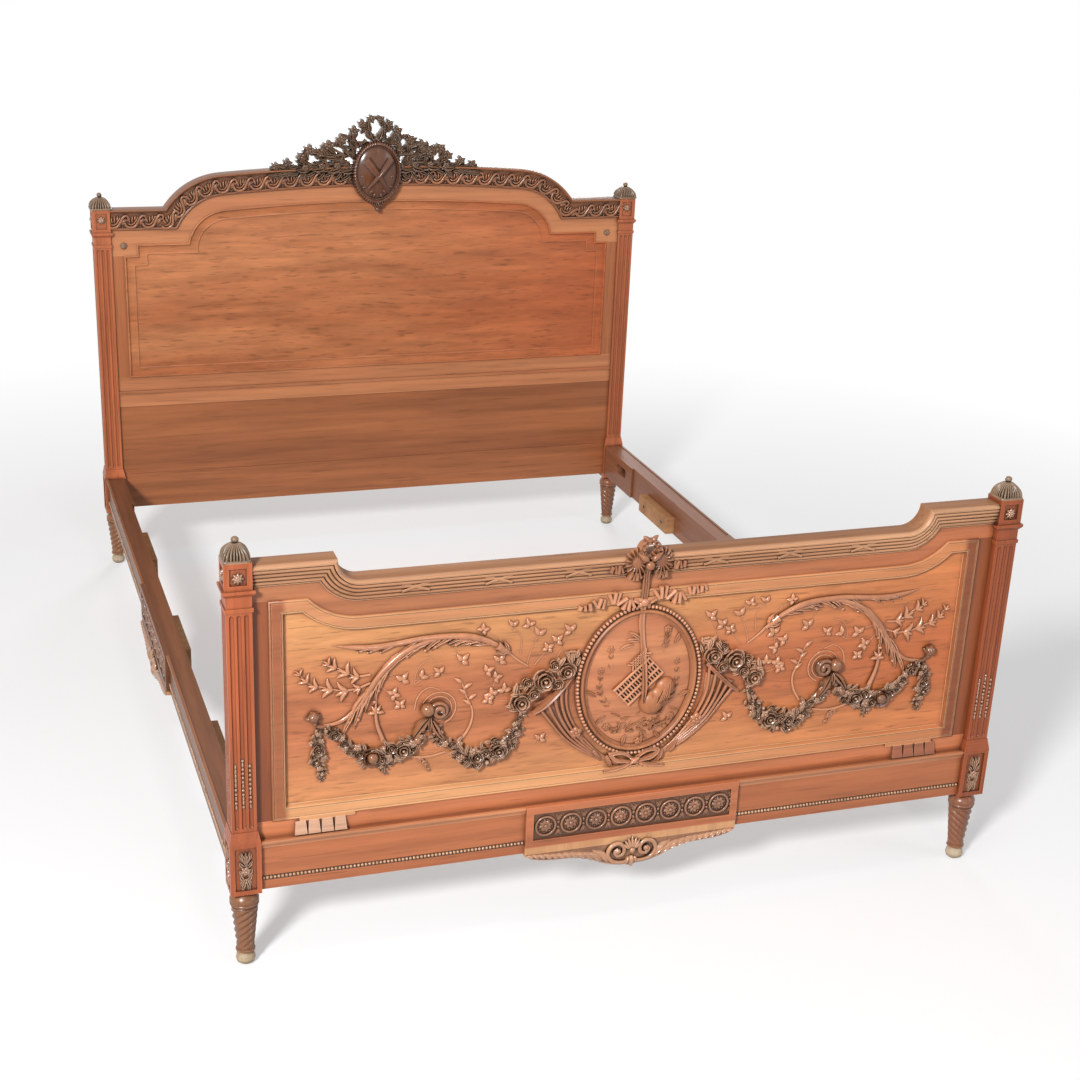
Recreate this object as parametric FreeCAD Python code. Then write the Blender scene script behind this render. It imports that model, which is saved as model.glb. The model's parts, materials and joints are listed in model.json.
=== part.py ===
"""Carved walnut double bed: headboard, footboard, two side rails and their bed screws.

Frame: X across the bed, Y along it with the head at +Y, Z up, millimetres.
The origin lies on the floor under the middle of the bed.
Depths in a board are counted from the face of its posts that looks towards the foot end.
"""
import FreeCAD, Part
import math
import os

V = FreeCAD.Vector
os.makedirs("parts", exist_ok=True)

# Overall size, over the lower blocks of the posts
bed_width = 1500.0
bed_length = 2061.0

# Posts
block_side = 55.0            # square lower block
shaft_side = 44.0            # square fluted shaft
top_block_side = 47.0        # square block under the finial
leg_height = 153.0
lower_block_height = 102.0
base_height = 20.0           # stepped moulding between block and shaft
foot_shaft_height = 412.0
head_shaft_height = 601.0
astragal_height = 7.0
astragal_side = 48.0
neck_height = 19.5
collar_height = 12.0
collar_side = 55.0
collar_lip = 5.0
foot_top_block_height = 48.0
head_top_block_height = 59.0
flute_radius = 4.2
flute_depth = 3.4
flute_pitch = 12.5
flute_end = 5.0              # plain shaft above and below the flutes
block_panel_margin = 8.5     # plain border of the carved block panels
block_panel_depth = 4.0
top_panel_margin = 9.0

# Finials, legs and feet
foot_finial_height = 39.5
head_finial_height = 40.5
finial_base = 4.0
finial_step = 1.0
head_cap_overhang = 4.0
finial_dome = 29.0           # top of the cap under its bud
finial_shoulder = 17.0       # height at which the cap's sides turn in
finial_shoulder_side = 41.0
finial_neck_side = 14.0
finial_bud_radius = 6.5
dowel_radius = 6.0
dowel_length = 22.0
spigot_radius = 11.0
spigot_length = 40.0
leg_neck_radius = 14.0
leg_shoulder_radius = 26.0
leg_ankle_radius = 15.5
leg_shoulder_height = 31.0   # from the taper up to the block
leg_ring_height = 6.0
leg_ring_proud = 2.0
ball_radius = 17.5
ball_height = 25.0
ball_flat_radius = 11.0
rosette_radius = 11.0
rosette_height = 3.5

# Footboard
rail_lift = 2.0              # underside of the bottom rail above the leg top
foot_bottom_rail_height = 95.0
foot_strip_height = 33.0     # plain strip between the ledge and the panel
frieze_height = 27.0         # plain strip between the panel and the cornice
cornice_height = 41.0
cornice_below_block = 8.5    # raised ends of the cornice, below the top of the post block
ramp_drop = 40.0             # how far the middle of the top line lies below its ends
ramp_inset = 157.3           # end of the low middle stretch from the edge of the panel opening
panel_ramp_radius = 120.0
foot_face = 20.0             # depth of the frame's front face behind the posts
foot_frame_thickness = 21.0
bottom_rail_face = 9.0
foot_stile_width = 28.0
reed_count = 4
reed_step = 2.4              # each reed lies this much further back
cornice_front = 5.0
cornice_depth = 44.0
border_width = 25.0
border_proud = 4.0
panel_recess = 4.0           # panel field behind the frame's face
panel_thickness = 13.0
tongue_thickness = 6.0
tongue_length = 7.0

# Carved work of the footboard, places counted from the middle of the medallion
medallion_half_width = 118.0
medallion_half_height = 145.0
medallion_rim = 20.0
medallion_height = 14.0
medallion_field_height = 5.0
medallion_above_panel_foot = 195.0
carving_height = 14.0
scroll_height = 8.0
festoon_band = 30.0
scroll_band = 18.0
horn_tip_band = 10.0
horn_mouth_band = 46.0
horn_mouth = (172.0, 18.0)
horn_bend = (125.0, -95.0)
horn_tip = (32.0, -163.0)
inner_festoon = ((212.0, 0.0), (290.0, -118.0), (388.0, -38.0))
outer_festoon_sag = 86.0
carving_end_inset = 84.3     # outer end of the carving from the edge of the panel opening
carving_end_drop = 26.0
pendant_drop = 118.0
scroll_start = (196.0, 42.0)
scroll_rise = 122.0
scroll_ball = (388.0, -16.0)
scroll_ball_radius = 26.0
bow_radius = 15.0
bow_reach = 26.0
bow_lobes = 7
bow_rise = 8.0               # middle of the bow above the low top line
ribbon_width = 16.0
ribbon_thickness = 4.0
gutta_count = 4
gutta_pitch = 23.6
gutta_top_width = 18.0
gutta_foot_width = 22.0
gutta_height = 24.0
gutta_proud = 10.0
gutta_inset = 50.0           # from the edge of the panel opening to the first gutta
gutta_tab = 5.0

# Tablet, apron, ledge and bead moulding, the same on footboard and side rails
tablet_half_length = 210.0
tablet_height = 83.0
tablet_proud = 9.0
tablet_frame_x = 14.0
tablet_frame_z = 14.0
tablet_recess = 4.0
foot_tablet_lift = 15.0      # bottom of the footboard's tablet above the underside of its rail
apron_drop = 52.0
apron_end_drop = 9.0
apron_thickness = 20.0
apron_boss_radius = 14.0
apron_setback = 2.0          # face of the apron behind the face of the tablet
fillet_setback = 1.0
ledge_height = 14.0
ledge_proud = 6.0
ledge_foot = 1.0             # thickness of the ledge at its lower edge
ledge_rise = 2.0             # top of the ledge above the rail's shoulder
bead_radius = 3.0
bead_height = 23.0           # bead row above the underside of the rail

# Headboard
head_face = 12.0
head_frame_thickness = 28.0
head_rail_lift = 10.0
head_bottom_rail_height = 94.0
head_lower_panel_height = 190.0
head_middle_rail_height = 80.0
middle_moulding_height = 7.0
middle_moulding_proud = 4.0
middle_moulding_up = 36.0
head_lower_panel_recess = 2.0
crest_below_cap = 1.0        # ends of the crest below the top of the post block
crest_corner_inset = 140.3   # corner of the crest from the post
crest_rise = 101.5           # middle of the crest above its ends
crest_shoulder_radius = 198.0
crest_corner_angle = 55.4    # slope of the crest at its corner
crest_band = 54.0            # height of the carved band with its cap
crest_cap = 12.0
crest_cap_front = 1.0
crest_band_front = 8.0
crest_back = 46.0
head_strip = 37.0            # plain strip between the crest and the panel
head_stile_width = 32.0
corner_notch_width = 33.0
corner_notch_height = 29.0
head_moulding_width = 28.0
head_moulding_proud = 3.0
corner_rosette_radius = 11.0
corner_rosette_height = 5.0
crest_leaf_half_length = 268.0
crest_leaf_top = 132.5       # tip of the foliage above the middle of the crest
crest_leaf_front = 8.0
crest_leaf_thickness = 22.0
crest_lobes = 8
crest_lobe_radius = 15.0
crest_eyes = 4
crest_eye_radius = 9.0
crest_eye_reach = 72.0
heart_eye_radius = 13.0
cartouche_half_width = 61.0
cartouche_half_height = 84.0
cartouche_below_crest = 18.0
cartouche_dome = 20.0
cartouche_edge = 6.0

# Side rails and hardware
rail_thickness = 38.0
rail_height = 87.0
rail_inset = 9.0             # outer face of the rail behind the outer face of the posts
rail_above_leg = 10.0
rail_tenon_length = 14.0
rail_tenon_thickness = 20.0
rail_tenon_height = 26.0
rail_tenon_up = 6.0
end_block_length = 210.0
end_block_thickness = 6.0
pocket_from_end = 95.0       # near end of the screw pocket from the post
pocket_length = 72.0
pocket_height = 26.0
pocket_floor = 7.0           # wood left between pocket and outer face
screw_up = 54.0              # screw axis above the underside of the rail
screw_radius = 5.0
screw_head_radius = 9.5
screw_head_length = 16.0
screw_reach = 28.0           # screw end beyond the rail, inside the post
tommy_hole_radius = 2.6
nut_plate_side = 30.0
nut_plate_thickness = 4.0
cleat_count = 3
cleat_from_end = 420.5       # middle of the outer cleats from the end of the rail
cleat_length = 196.0
cleat_thickness = 24.0
cleat_height = 45.0
cleat_lift = 3.0
cleat_screw_radius = 2.5
cleat_screw_head_radius = 5.0
cleat_screw_head_height = 3.0
cleat_screw_length = 42.0
cleat_screw_inset = 35.0

# Clearances
joint_fit = 0.2              # glued wood joints, on each side
panel_float = 0.6            # room for a panel's tongue at the bottom of its groove
tenon_length = 14.0
tenon_shoulder = 6.0         # wood left each side of a tenon's thickness
tenon_height = 34.0
tenon_foot = 50.0            # tenon of a bottom rail above the rail's underside
crest_tenon = 24.0
stile_tenon_length = 14.0
stile_tenon_inset = 1.0      # wood between a stile's groove and its tenon
running_fit = 0.3            # round the bed screws in the wood
nut_fit = 0.08               # round the bed screws in their nut plates
screw_hole_fit = 0.1
overshoot = 1.0              # how far a cutter or a joined core runs past a face

# Places worked out from the sizes above
post_x = bed_width / 2 - block_side / 2
post_y = bed_length / 2 - block_side / 2
shaft_inner_x = post_x - shaft_side / 2
frame_end_x = shaft_inner_x - joint_fit
foot_front_y = -bed_length / 2
head_front_y = bed_length / 2 - block_side
block_top_z = leg_height + lower_block_height
shaft_foot_z = block_top_z + base_height

foot_rail_z = leg_height + rail_lift
foot_shoulder_z = foot_rail_z + foot_bottom_rail_height
foot_panel_z = foot_shoulder_z + foot_strip_height
foot_block_top_z = (shaft_foot_z + foot_shaft_height + astragal_height + neck_height
                    + collar_height + foot_top_block_height)
cornice_top_z = foot_block_top_z - cornice_below_block
cornice_foot_z = cornice_top_z - cornice_height
panel_top_z = cornice_foot_z - frieze_height
foot_stile_x = frame_end_x - foot_stile_width
ramp_x = foot_stile_x - ramp_inset
carving_end_x = foot_stile_x - carving_end_inset
panel_field_depth = foot_face + panel_recess
medallion_z = foot_panel_z + medallion_above_panel_foot
foot_back = foot_face + foot_frame_thickness

head_rail_z = leg_height + head_rail_lift
head_lower_panel_z = head_rail_z + head_bottom_rail_height
head_middle_z = head_lower_panel_z + head_lower_panel_height
head_panel_z = head_middle_z + head_middle_rail_height
head_block_top_z = (shaft_foot_z + head_shaft_height + astragal_height + neck_height
                    + collar_height + head_top_block_height)
crest_end_z = head_block_top_z - crest_below_cap
crest_apex_z = crest_end_z + crest_rise
crest_corner_x = frame_end_x - crest_corner_inset
head_stile_x = frame_end_x - head_stile_width
head_back = head_face + head_frame_thickness
notch_top = crest_band + head_strip
notch_foot_z = crest_end_z - notch_top - corner_notch_height

rail_outer_x = bed_width / 2 - rail_inset
rail_inner_x = rail_outer_x - rail_thickness
rail_axis_x = rail_inner_x + rail_thickness / 2
rail_z = leg_height + rail_above_leg
rail_top_z = rail_z + rail_height
rail_tablet_lift = rail_height - tablet_height
rail_end_y = post_y - block_side / 2
screw_z = rail_z + screw_up
pocket_end_y = rail_end_y - pocket_from_end


# Solids and outlines

def box(x0, x1, y0, y1, z0, z1):
    return Part.makeBox(x1 - x0, y1 - y0, z1 - z0, V(x0, y0, z0))


def fuse(shapes):
    first, *rest = shapes
    return first.multiFuse(rest).removeSplitter() if rest else first


def mirrored(shape):
    return shape.mirror(V(0, 0, 0), V(1, 0, 0))


def moved(shape, x, y, z):
    copy = shape.copy()
    copy.translate(V(x, y, z))
    return copy


def outline(start, steps):
    """Closed XZ face: a step is a point, or a pair of mid point and end point of an arc."""
    edges = []
    here = V(start[0], 0, start[1])
    for step in list(steps) + [start]:
        arc = isinstance(step[0], tuple)
        end = step[1] if arc else step
        there = V(end[0], 0, end[1])
        if there.distanceToPoint(here) < 1e-6:
            continue
        if arc:
            middle = V(step[0][0], 0, step[0][1])
            edges.append(Part.Arc(here, middle, there).toShape())
        else:
            edges.append(Part.LineSegment(here, there).toShape())
        here = there
    return Part.Face(Part.Wire(edges))


def slab(face, y0, y1):
    """An XZ face made into a board between two depths."""
    copy = face.copy()
    copy.translate(V(0, y0, 0))
    return copy.extrude(V(0, y1 - y0, 0))


def ellipse(x, z, half_x, half_z):
    long_x = half_x >= half_z
    curve = Part.Ellipse(V(0, 0, 0), max(half_x, half_z), min(half_x, half_z))
    wire = Part.Wire(curve.toShape())
    wire.rotate(V(0, 0, 0), V(1, 0, 0), 90)
    if not long_x:
        wire.rotate(V(0, 0, 0), V(0, 1, 0), 90)
    wire.translate(V(x, 0, z))
    return Part.Face(wire)


def tier(z0, side0, z1, side1):
    """Square frustum between two heights."""
    def square(z, side):
        h = side / 2
        corners = [V(-h, -h, z), V(h, -h, z), V(h, h, z), V(-h, h, z), V(-h, -h, z)]
        return Part.makePolygon(corners)
    return Part.makeLoft([square(z0, side0), square(z1, side1)], True, True)


def turned(profile):
    """Solid turned about Z from (radius, height) points, closed on the axis."""
    points = [V(r, 0, z) for r, z in profile]
    foot, top = V(0, 0, profile[0][1]), V(0, 0, profile[-1][1])
    wire = Part.makePolygon([foot] + points + [top, foot])
    return Part.Face(wire).revolve(V(0, 0, 0), V(0, 0, 1), 360)


def circle_point(centre, radius, x=None, z=None, side=-1):
    """Point of a circle at a given x, on its lower half, or at a given z, on its outer side."""
    if z is None:
        return (x, centre[1] - math.sqrt(radius ** 2 - (x - centre[0]) ** 2))
    return (centre[0] + side * math.sqrt(radius ** 2 - (z - centre[1]) ** 2), z)


def between(centre, radius, a, b):
    """Point half way along the shorter arc from a to b."""
    mid = V((a[0] + b[0]) / 2 - centre[0], 0, (a[1] + b[1]) / 2 - centre[1])
    mid.normalize()
    return (centre[0] + mid.x * radius, centre[1] + mid.z * radius)


def flipped(steps, start):
    """The mirror image of a path, walked back from its far end."""
    points = [start]
    mids = []
    for step in steps:
        arc = isinstance(step[0], tuple)
        mids.append(step[0] if arc else None)
        points.append(step[1] if arc else step)
    result = []
    for i in range(len(mids) - 1, -1, -1):
        end = (-points[i][0], points[i][1])
        result.append(((-mids[i][0], mids[i][1]), end) if mids[i] else end)
    return result


def ramp_line(raised_z, low_z, radius, end_x):
    """Top line of the footboard from its left end to its right: raised, ramp, low, ramp, raised."""
    centre = (-ramp_x, low_z + radius)
    corner = circle_point(centre, radius, z=raised_z)
    low = (-ramp_x, low_z)
    left = [corner, (between(centre, radius, corner, low), low)]
    start = (-end_x, raised_z)
    return start, left + [(ramp_x, low_z)] + flipped(left, start)


def crest_line(offset, end_x):
    """Arched line of the headboard, a given distance inside its top edge."""
    angle = math.radians(crest_corner_angle)
    shoulder_x = -crest_corner_x + crest_shoulder_radius * math.sin(angle)
    shoulder_z = crest_end_z - crest_shoulder_radius * math.cos(angle)
    fall = shoulder_z - crest_apex_z
    square = crest_shoulder_radius ** 2 - shoulder_x ** 2 - fall ** 2
    main_radius = square / (2 * (fall + crest_shoulder_radius))
    centre = (0.0, crest_apex_z - main_radius)
    reach = math.hypot(shoulder_x - centre[0], shoulder_z - centre[1])
    share = (main_radius - offset) / reach
    join = (shoulder_x * share, centre[1] + (shoulder_z - centre[1]) * share)
    small = crest_shoulder_radius - offset
    corner = circle_point((shoulder_x, shoulder_z), small, z=crest_end_z - offset)
    apex = (0.0, crest_apex_z - offset)
    rise = (between((shoulder_x, shoulder_z), small, corner, join), join)
    start = (-end_x, crest_end_z - offset)
    left = [corner, rise]
    return start, left + [(apex, (-join[0], join[1]))] + flipped(left, start)


def band(upper, lower):
    """Face between two lines that both run from left to right."""
    start, steps = upper
    low_start, low_steps = lower
    back = flipped(low_steps, low_start)
    # The lower line is its own mirror image, so walking the flipped path leads from right to left.
    returned = [mirror_step(step) for step in back]
    return outline(start, steps + [(-low_start[0], low_start[1])] + returned)


def mirror_step(step):
    if isinstance(step[0], tuple):
        (mid, end) = step
        return ((-mid[0], mid[1]), (-end[0], end[1]))
    return (-step[0], step[1])


def foot_slab(face, depth0, depth1):
    return slab(face, foot_front_y + depth0, foot_front_y + depth1)


def head_slab(face, depth0, depth1):
    return slab(face, head_front_y + depth0, head_front_y + depth1)


def foot_box(x0, x1, depth0, depth1, z0, z1):
    return box(x0, x1, foot_front_y + depth0, foot_front_y + depth1, z0, z1)


def head_box(x0, x1, depth0, depth1, z0, z1):
    return box(x0, x1, head_front_y + depth0, head_front_y + depth1, z0, z1)


def save(name, shape):
    shape.exportStep("parts/" + name + ".step")


def save_pair(name, left):
    save(name + "_left", left)
    save(name + "_right", mirrored(left))


def both_sides(left):
    return [left, mirrored(left)]


# Posts: built round their own axis with the outer side at -X, then set at the left corner

def flute(z0, z1):
    """Round-ended groove cutter on the axis, for a groove centred on the surface plane y = 0."""
    lift = flute_radius - flute_depth
    low, high = z0 + flute_radius, z1 - flute_radius
    stick = Part.makeCylinder(flute_radius, high - low, V(0, -lift, low))
    ends = [Part.makeSphere(flute_radius, V(0, -lift, z)) for z in (low, high)]
    return stick.multiFuse(ends)


def fluted(shaft, z0, z1):
    cutter = flute(z0 + flute_end, z1 - flute_end)
    cuts = []
    for i in (-1, 0, 1):
        cuts.append(moved(cutter, i * flute_pitch, -shaft_side / 2, 0))
        side = moved(cutter, i * flute_pitch, -shaft_side / 2, 0)
        side.rotate(V(0, 0, 0), V(0, 0, 1), -90)
        cuts.append(side)
    return shaft.cut(cuts)


def recess(side, margin_x, z0, z1, front, outer):
    """Sunk panels in the front and outer face of a square block."""
    half = side / 2
    run = half - margin_x
    cuts = []
    if front:
        cuts.append(box(-run, run, -half, -half + block_panel_depth, z0, z1))
    if outer:
        cuts.append(box(-half, -half + block_panel_depth, -run, run, z0, z1))
    return cuts


def post(shaft_height, top_height, front_panel):
    z = leg_height
    parts = [tier(z, block_side, block_top_z, block_side)]
    steps = 3
    for i in range(steps):
        low = block_top_z + base_height * i / steps
        high = block_top_z + base_height * (i + 1) / steps
        shrink = (block_side - shaft_side) / (steps + 1)
        parts.append(tier(low, block_side - shrink * (i + 0.3), high, block_side - shrink * (i + 1)))
    top = shaft_foot_z + shaft_height
    shaft = tier(shaft_foot_z, shaft_side, top, shaft_side)
    parts.append(fluted(shaft, shaft_foot_z, top))
    parts.append(tier(top, astragal_side, top + astragal_height, astragal_side))
    neck = top + astragal_height + neck_height
    parts.append(tier(top + astragal_height, shaft_side, neck, shaft_side))
    lip = neck + collar_height - collar_lip
    parts.append(tier(neck, shaft_side, lip, collar_side))
    block = neck + collar_height
    parts.append(tier(lip, collar_side, block, collar_side))
    parts.append(tier(block, top_block_side, block + top_height, top_block_side))
    body = fuse(parts)
    cuts = recess(top_block_side, top_panel_margin, block + top_panel_margin,
                  block + top_height - top_panel_margin, True, True)
    cuts += recess(block_side, block_panel_margin, leg_height + block_panel_margin,
                   block_top_z - block_panel_margin, front_panel, True)
    cuts.append(Part.makeCylinder(spigot_radius + joint_fit, spigot_length + joint_fit, V(0, 0, leg_height)))
    hole_foot = block + top_height - dowel_length - joint_fit
    cuts.append(Part.makeCylinder(dowel_radius + joint_fit, dowel_length + joint_fit, V(0, 0, hole_foot)))
    return body.cut(cuts)


def housing(front_y, depth0, depth1, z0, z1, reach=0.0):
    """Room in the left post for the end of a frame member, or for a tenon that reaches further in."""
    x0 = -shaft_inner_x - reach
    x1 = -bed_width / 2 + block_side + joint_fit
    return box(x0, x1, front_y + depth0 - joint_fit, front_y + depth1 + joint_fit,
               z0 - joint_fit, z1 + joint_fit)


def tenon(front_y, depth0, depth1, z0, z1):
    """Tenon on the left end of a frame member."""
    return box(-frame_end_x - tenon_length, -frame_end_x, front_y + depth0 + tenon_shoulder,
               front_y + depth1 - tenon_shoulder, z0, z1)


def mortise(front_y, depth0, depth1, z0, z1):
    return housing(front_y, depth0 + tenon_shoulder, depth1 - tenon_shoulder, z0, z1, tenon_length + joint_fit)


def rail_sockets(post_face_y, inward):
    """Room in a left post for the side rail's tenon, the nut plate and the screw end."""
    def along(reach0, reach1, x, half_x, z0, z1):
        ys = sorted((post_face_y + inward * reach0, post_face_y + inward * reach1))
        return box(x - half_x, x + half_x, ys[0], ys[1], z0, z1)
    tenon_z = rail_z + rail_tenon_up
    half = rail_tenon_thickness / 2 + joint_fit
    plate = nut_plate_side / 2 + joint_fit
    cuts = [along(-overshoot, rail_tenon_length + joint_fit, -rail_axis_x, half,
                  tenon_z - joint_fit, tenon_z + rail_tenon_height + joint_fit)]
    cuts.append(along(-overshoot, nut_plate_thickness, -rail_axis_x, plate, screw_z - plate, screw_z + plate))
    hole = Part.makeCylinder(screw_radius + running_fit, screw_reach + running_fit,
                             V(-rail_axis_x, post_face_y, screw_z), V(0, inward, 0))
    return cuts + [hole]


def foot_post():
    body = moved(post(foot_shaft_height, foot_top_block_height, True), -post_x, -post_y, 0)
    y = foot_front_y
    cuts = [housing(y, bottom_rail_face, foot_back, foot_rail_z, foot_shoulder_z)]
    cuts.append(housing(y, foot_face, foot_back, foot_shoulder_z, cornice_foot_z))
    cuts.append(housing(y, cornice_front, cornice_front + cornice_depth, cornice_foot_z, cornice_top_z))
    cuts += [mortise(y, *place) for place in foot_tenons]
    cuts += rail_sockets(-rail_end_y, -1)
    return body.cut(cuts)


def head_post():
    body = moved(post(head_shaft_height, head_top_block_height, False), -post_x, post_y, 0)
    y = head_front_y
    cuts = [housing(y, head_face, head_back, head_rail_z, crest_end_z - crest_band)]
    cuts.append(housing(y, crest_cap_front, crest_back, crest_end_z - crest_band, crest_end_z))
    cuts += [mortise(y, *place) for place in head_tenons]
    cuts += rail_sockets(rail_end_y, 1)
    return body.cut(cuts)


# Tenons that enter the posts: front and back depth of the member, foot and top of the tenon
foot_tenons = [
    (bottom_rail_face, foot_back, foot_rail_z + tenon_foot, foot_rail_z + tenon_foot + tenon_height),
    (foot_face, foot_back, panel_top_z + tongue_length + tenon_shoulder / 2,
     cornice_foot_z - tenon_shoulder / 2),
    (cornice_front + tenon_shoulder, foot_back, cornice_foot_z + tenon_shoulder, cornice_foot_z + crest_tenon),
]
head_tenons = [
    (head_face, head_back, head_rail_z + tenon_foot - head_rail_lift + rail_lift,
     head_rail_z + tenon_foot - head_rail_lift + rail_lift + tenon_height),
    (head_face, head_back, head_middle_z + tenon_height / 2, head_middle_z + tenon_height * 1.5),
    (head_face, head_back, crest_end_z - crest_band - tenon_height, crest_end_z - crest_band - tenon_shoulder),
    (crest_band_front, crest_back, crest_end_z - crest_band + tenon_shoulder,
     crest_end_z - crest_band + tenon_shoulder + crest_tenon),
]


# Finials, legs and feet

def finial(height, overhang):
    side = top_block_side + 2 * overhang
    body = tier(0, side, finial_base, side)
    parts = [body, tier(finial_base, top_block_side - finial_step, finial_shoulder, finial_shoulder_side)]
    parts.append(tier(finial_shoulder, finial_shoulder_side, finial_dome, finial_neck_side))
    bud = height - finial_dome
    half = finial_bud_radius * 0.72
    parts.append(turned([(half, finial_dome - overshoot), (finial_bud_radius, finial_dome + bud * 0.35),
                         (finial_bud_radius * 0.8, finial_dome + bud * 0.72), (half * 0.5, height)]))
    parts.append(Part.makeCylinder(dowel_radius, dowel_length + overshoot, V(0, 0, -dowel_length)))
    return fuse(parts)


def leg():
    neck = leg_height
    r = leg_shoulder_radius
    h = leg_shoulder_height
    taper = r - leg_ring_proud
    ring = leg_ankle_radius + leg_ring_proud
    profile = [(leg_ankle_radius, ball_height), (ring, ball_height + leg_ring_height * 0.25),
               (ring, ball_height + leg_ring_height * 0.75), (leg_ankle_radius, ball_height + leg_ring_height),
               (taper, neck - h), (taper, neck - h * 0.9), (r, neck - h * 0.78), (r, neck - h * 0.55),
               (r - 2 * leg_ring_proud, neck - h * 0.33), (leg_neck_radius, neck - h * 0.16),
               (leg_neck_radius, neck), (spigot_radius, neck), (spigot_radius, neck + spigot_length)]
    hole = Part.makeCylinder(dowel_radius + joint_fit, dowel_length + joint_fit, V(0, 0, ball_height))
    return turned(profile).cut(hole)


def ball_foot():
    r = ball_radius
    profile = [(ball_flat_radius, 0), (r * 0.9, ball_height * 0.16), (r, ball_height * 0.4),
               (r * 0.93, ball_height * 0.66), (r * 0.72, ball_height * 0.86), (r * 0.72, ball_height),
               (dowel_radius, ball_height), (dowel_radius, ball_height + dowel_length)]
    return turned(profile)


def rosette():
    """Round boss facing -Y on the plane y = 0."""
    r = rosette_radius
    h = rosette_height
    body = turned([(r, 0), (r, h * 0.35), (r * 0.7, h * 0.8), (r * 0.3, h)])
    body.rotate(V(0, 0, 0), V(1, 0, 0), 90)
    return body


def block_rosettes(y, top_z, block_height):
    """Rosettes on the front and outer face of a left post's top block."""
    z = top_z - block_height / 2
    sunk = top_block_side / 2 - block_panel_depth
    front = moved(rosette(), -post_x, y - sunk, z)
    side = rosette()
    side.rotate(V(0, 0, 0), V(0, 0, 1), -90)
    return [front, moved(side, -post_x - sunk, y, z)]


# Footboard

def panel_line(grow, end_x):
    return ramp_line(panel_top_z + grow, panel_top_z - ramp_drop + grow, panel_ramp_radius - grow, end_x)


def panel_face(grow):
    """Outline of the footboard panel's opening, grown outwards by a given amount."""
    x = foot_stile_x + grow
    start, steps = panel_line(grow, x)
    return outline(start, steps + [(x, foot_panel_z - grow), (-x, foot_panel_z - grow)])


def groove():
    mid = panel_field_depth + panel_thickness / 2
    half = tongue_thickness / 2 + joint_fit
    return foot_slab(panel_face(tongue_length + panel_float), mid - half, mid + half)


def cornice_line(offset, end_x):
    return ramp_line(cornice_top_z - offset, cornice_top_z - ramp_drop - offset, ramp_drop + offset, end_x)


def foot_cornice():
    pitch = cornice_height / (reed_count + 1)
    layers = []
    for i in range(reed_count + 1):
        face = band(cornice_line(0, frame_end_x), cornice_line(pitch * (i + 1), frame_end_x))
        layers.append(foot_slab(face, cornice_front + reed_step * i, cornice_front + cornice_depth))
    ends = both_sides(tenon(foot_front_y, *foot_tenons[2]))
    return fuse(layers + ends)


def foot_top_rail():
    face = band(cornice_line(cornice_height, frame_end_x), panel_line(0, frame_end_x))
    body = foot_slab(face, foot_face, foot_back)
    ends = both_sides(tenon(foot_front_y, *foot_tenons[1]))
    return fuse([body] + ends).cut([groove()] + stile_mortises(panel_top_z, 1))


def stile_tenon(z, up, fit=0.0):
    """Tenon at the top or foot of the left footboard stile."""
    zs = sorted((z - up * fit, z + up * (stile_tenon_length + fit)))
    return foot_box(-frame_end_x + tenon_shoulder - fit, -foot_stile_x - tongue_length - stile_tenon_inset + fit,
                    foot_face + tenon_shoulder - fit, foot_back - tenon_shoulder + fit, zs[0], zs[1])


def stile_mortises(z, up):
    return both_sides(stile_tenon(z, up, joint_fit))


def foot_stile():
    body = foot_box(-frame_end_x, -foot_stile_x, foot_face, foot_back, foot_panel_z, panel_top_z)
    ends = [stile_tenon(panel_top_z, 1), stile_tenon(foot_panel_z, -1)]
    return fuse([body] + ends).cut(groove())


def foot_panel():
    depth = panel_field_depth
    mid = depth + panel_thickness / 2
    half = tongue_thickness / 2
    field = foot_slab(panel_face(-joint_fit), depth, depth + panel_thickness)
    return field.fuse(foot_slab(panel_face(tongue_length), mid - half, mid + half)).removeSplitter()


def foot_panel_border():
    outer = panel_face(-joint_fit)
    ring = outer.cut(panel_face(-joint_fit - border_width))
    tab_x = foot_stile_x - gutta_inset + gutta_pitch / 2
    front = foot_face - border_proud
    tab = foot_box(-tab_x, -tab_x + gutta_pitch * gutta_count, front, foot_face,
                   foot_panel_z - gutta_tab, foot_panel_z + border_width / 2)
    return fuse([foot_slab(ring, front, panel_field_depth)] + both_sides(tab))


def guttae():
    """Small tapered blocks under the lower corners of the panel."""
    blocks = []
    top = foot_panel_z - gutta_tab
    low = top - gutta_height
    for i in range(gutta_count):
        x = -(foot_stile_x - gutta_inset) + gutta_pitch * i
        a, b = gutta_top_width / 2, gutta_foot_width / 2
        face = outline((x - a, top), [(x + a, top), (x + b, low), (x - b, low)])
        block = foot_slab(face, foot_face - gutta_proud, foot_face)
        lean = Part.Face(Part.makePolygon([V(x - b, foot_front_y + foot_face - gutta_proud, low),
                                           V(x - b, foot_front_y + foot_face - gutta_proud, top),
                                           V(x - b, foot_front_y + foot_face - border_proud, top),
                                           V(x - b, foot_front_y + foot_face - gutta_proud, low)]))
        blocks += both_sides(block.cut(lean.extrude(V(gutta_foot_width, 0, 0))))
    return Part.makeCompound(blocks)


def foot_bottom_rail():
    body = foot_box(-frame_end_x, frame_end_x, bottom_rail_face, foot_back, foot_rail_z, foot_shoulder_z)
    strip = foot_box(-frame_end_x, frame_end_x, foot_face, foot_back, foot_shoulder_z, foot_panel_z)
    ends = both_sides(tenon(foot_front_y, *foot_tenons[0]))
    return fuse([body, strip] + ends).cut([groove()] + stile_mortises(foot_panel_z, -1))


# Carved tablet, apron, ledge and bead row: facing -Y on the plane y = 0, with z = 0 at the rail's underside

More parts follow.
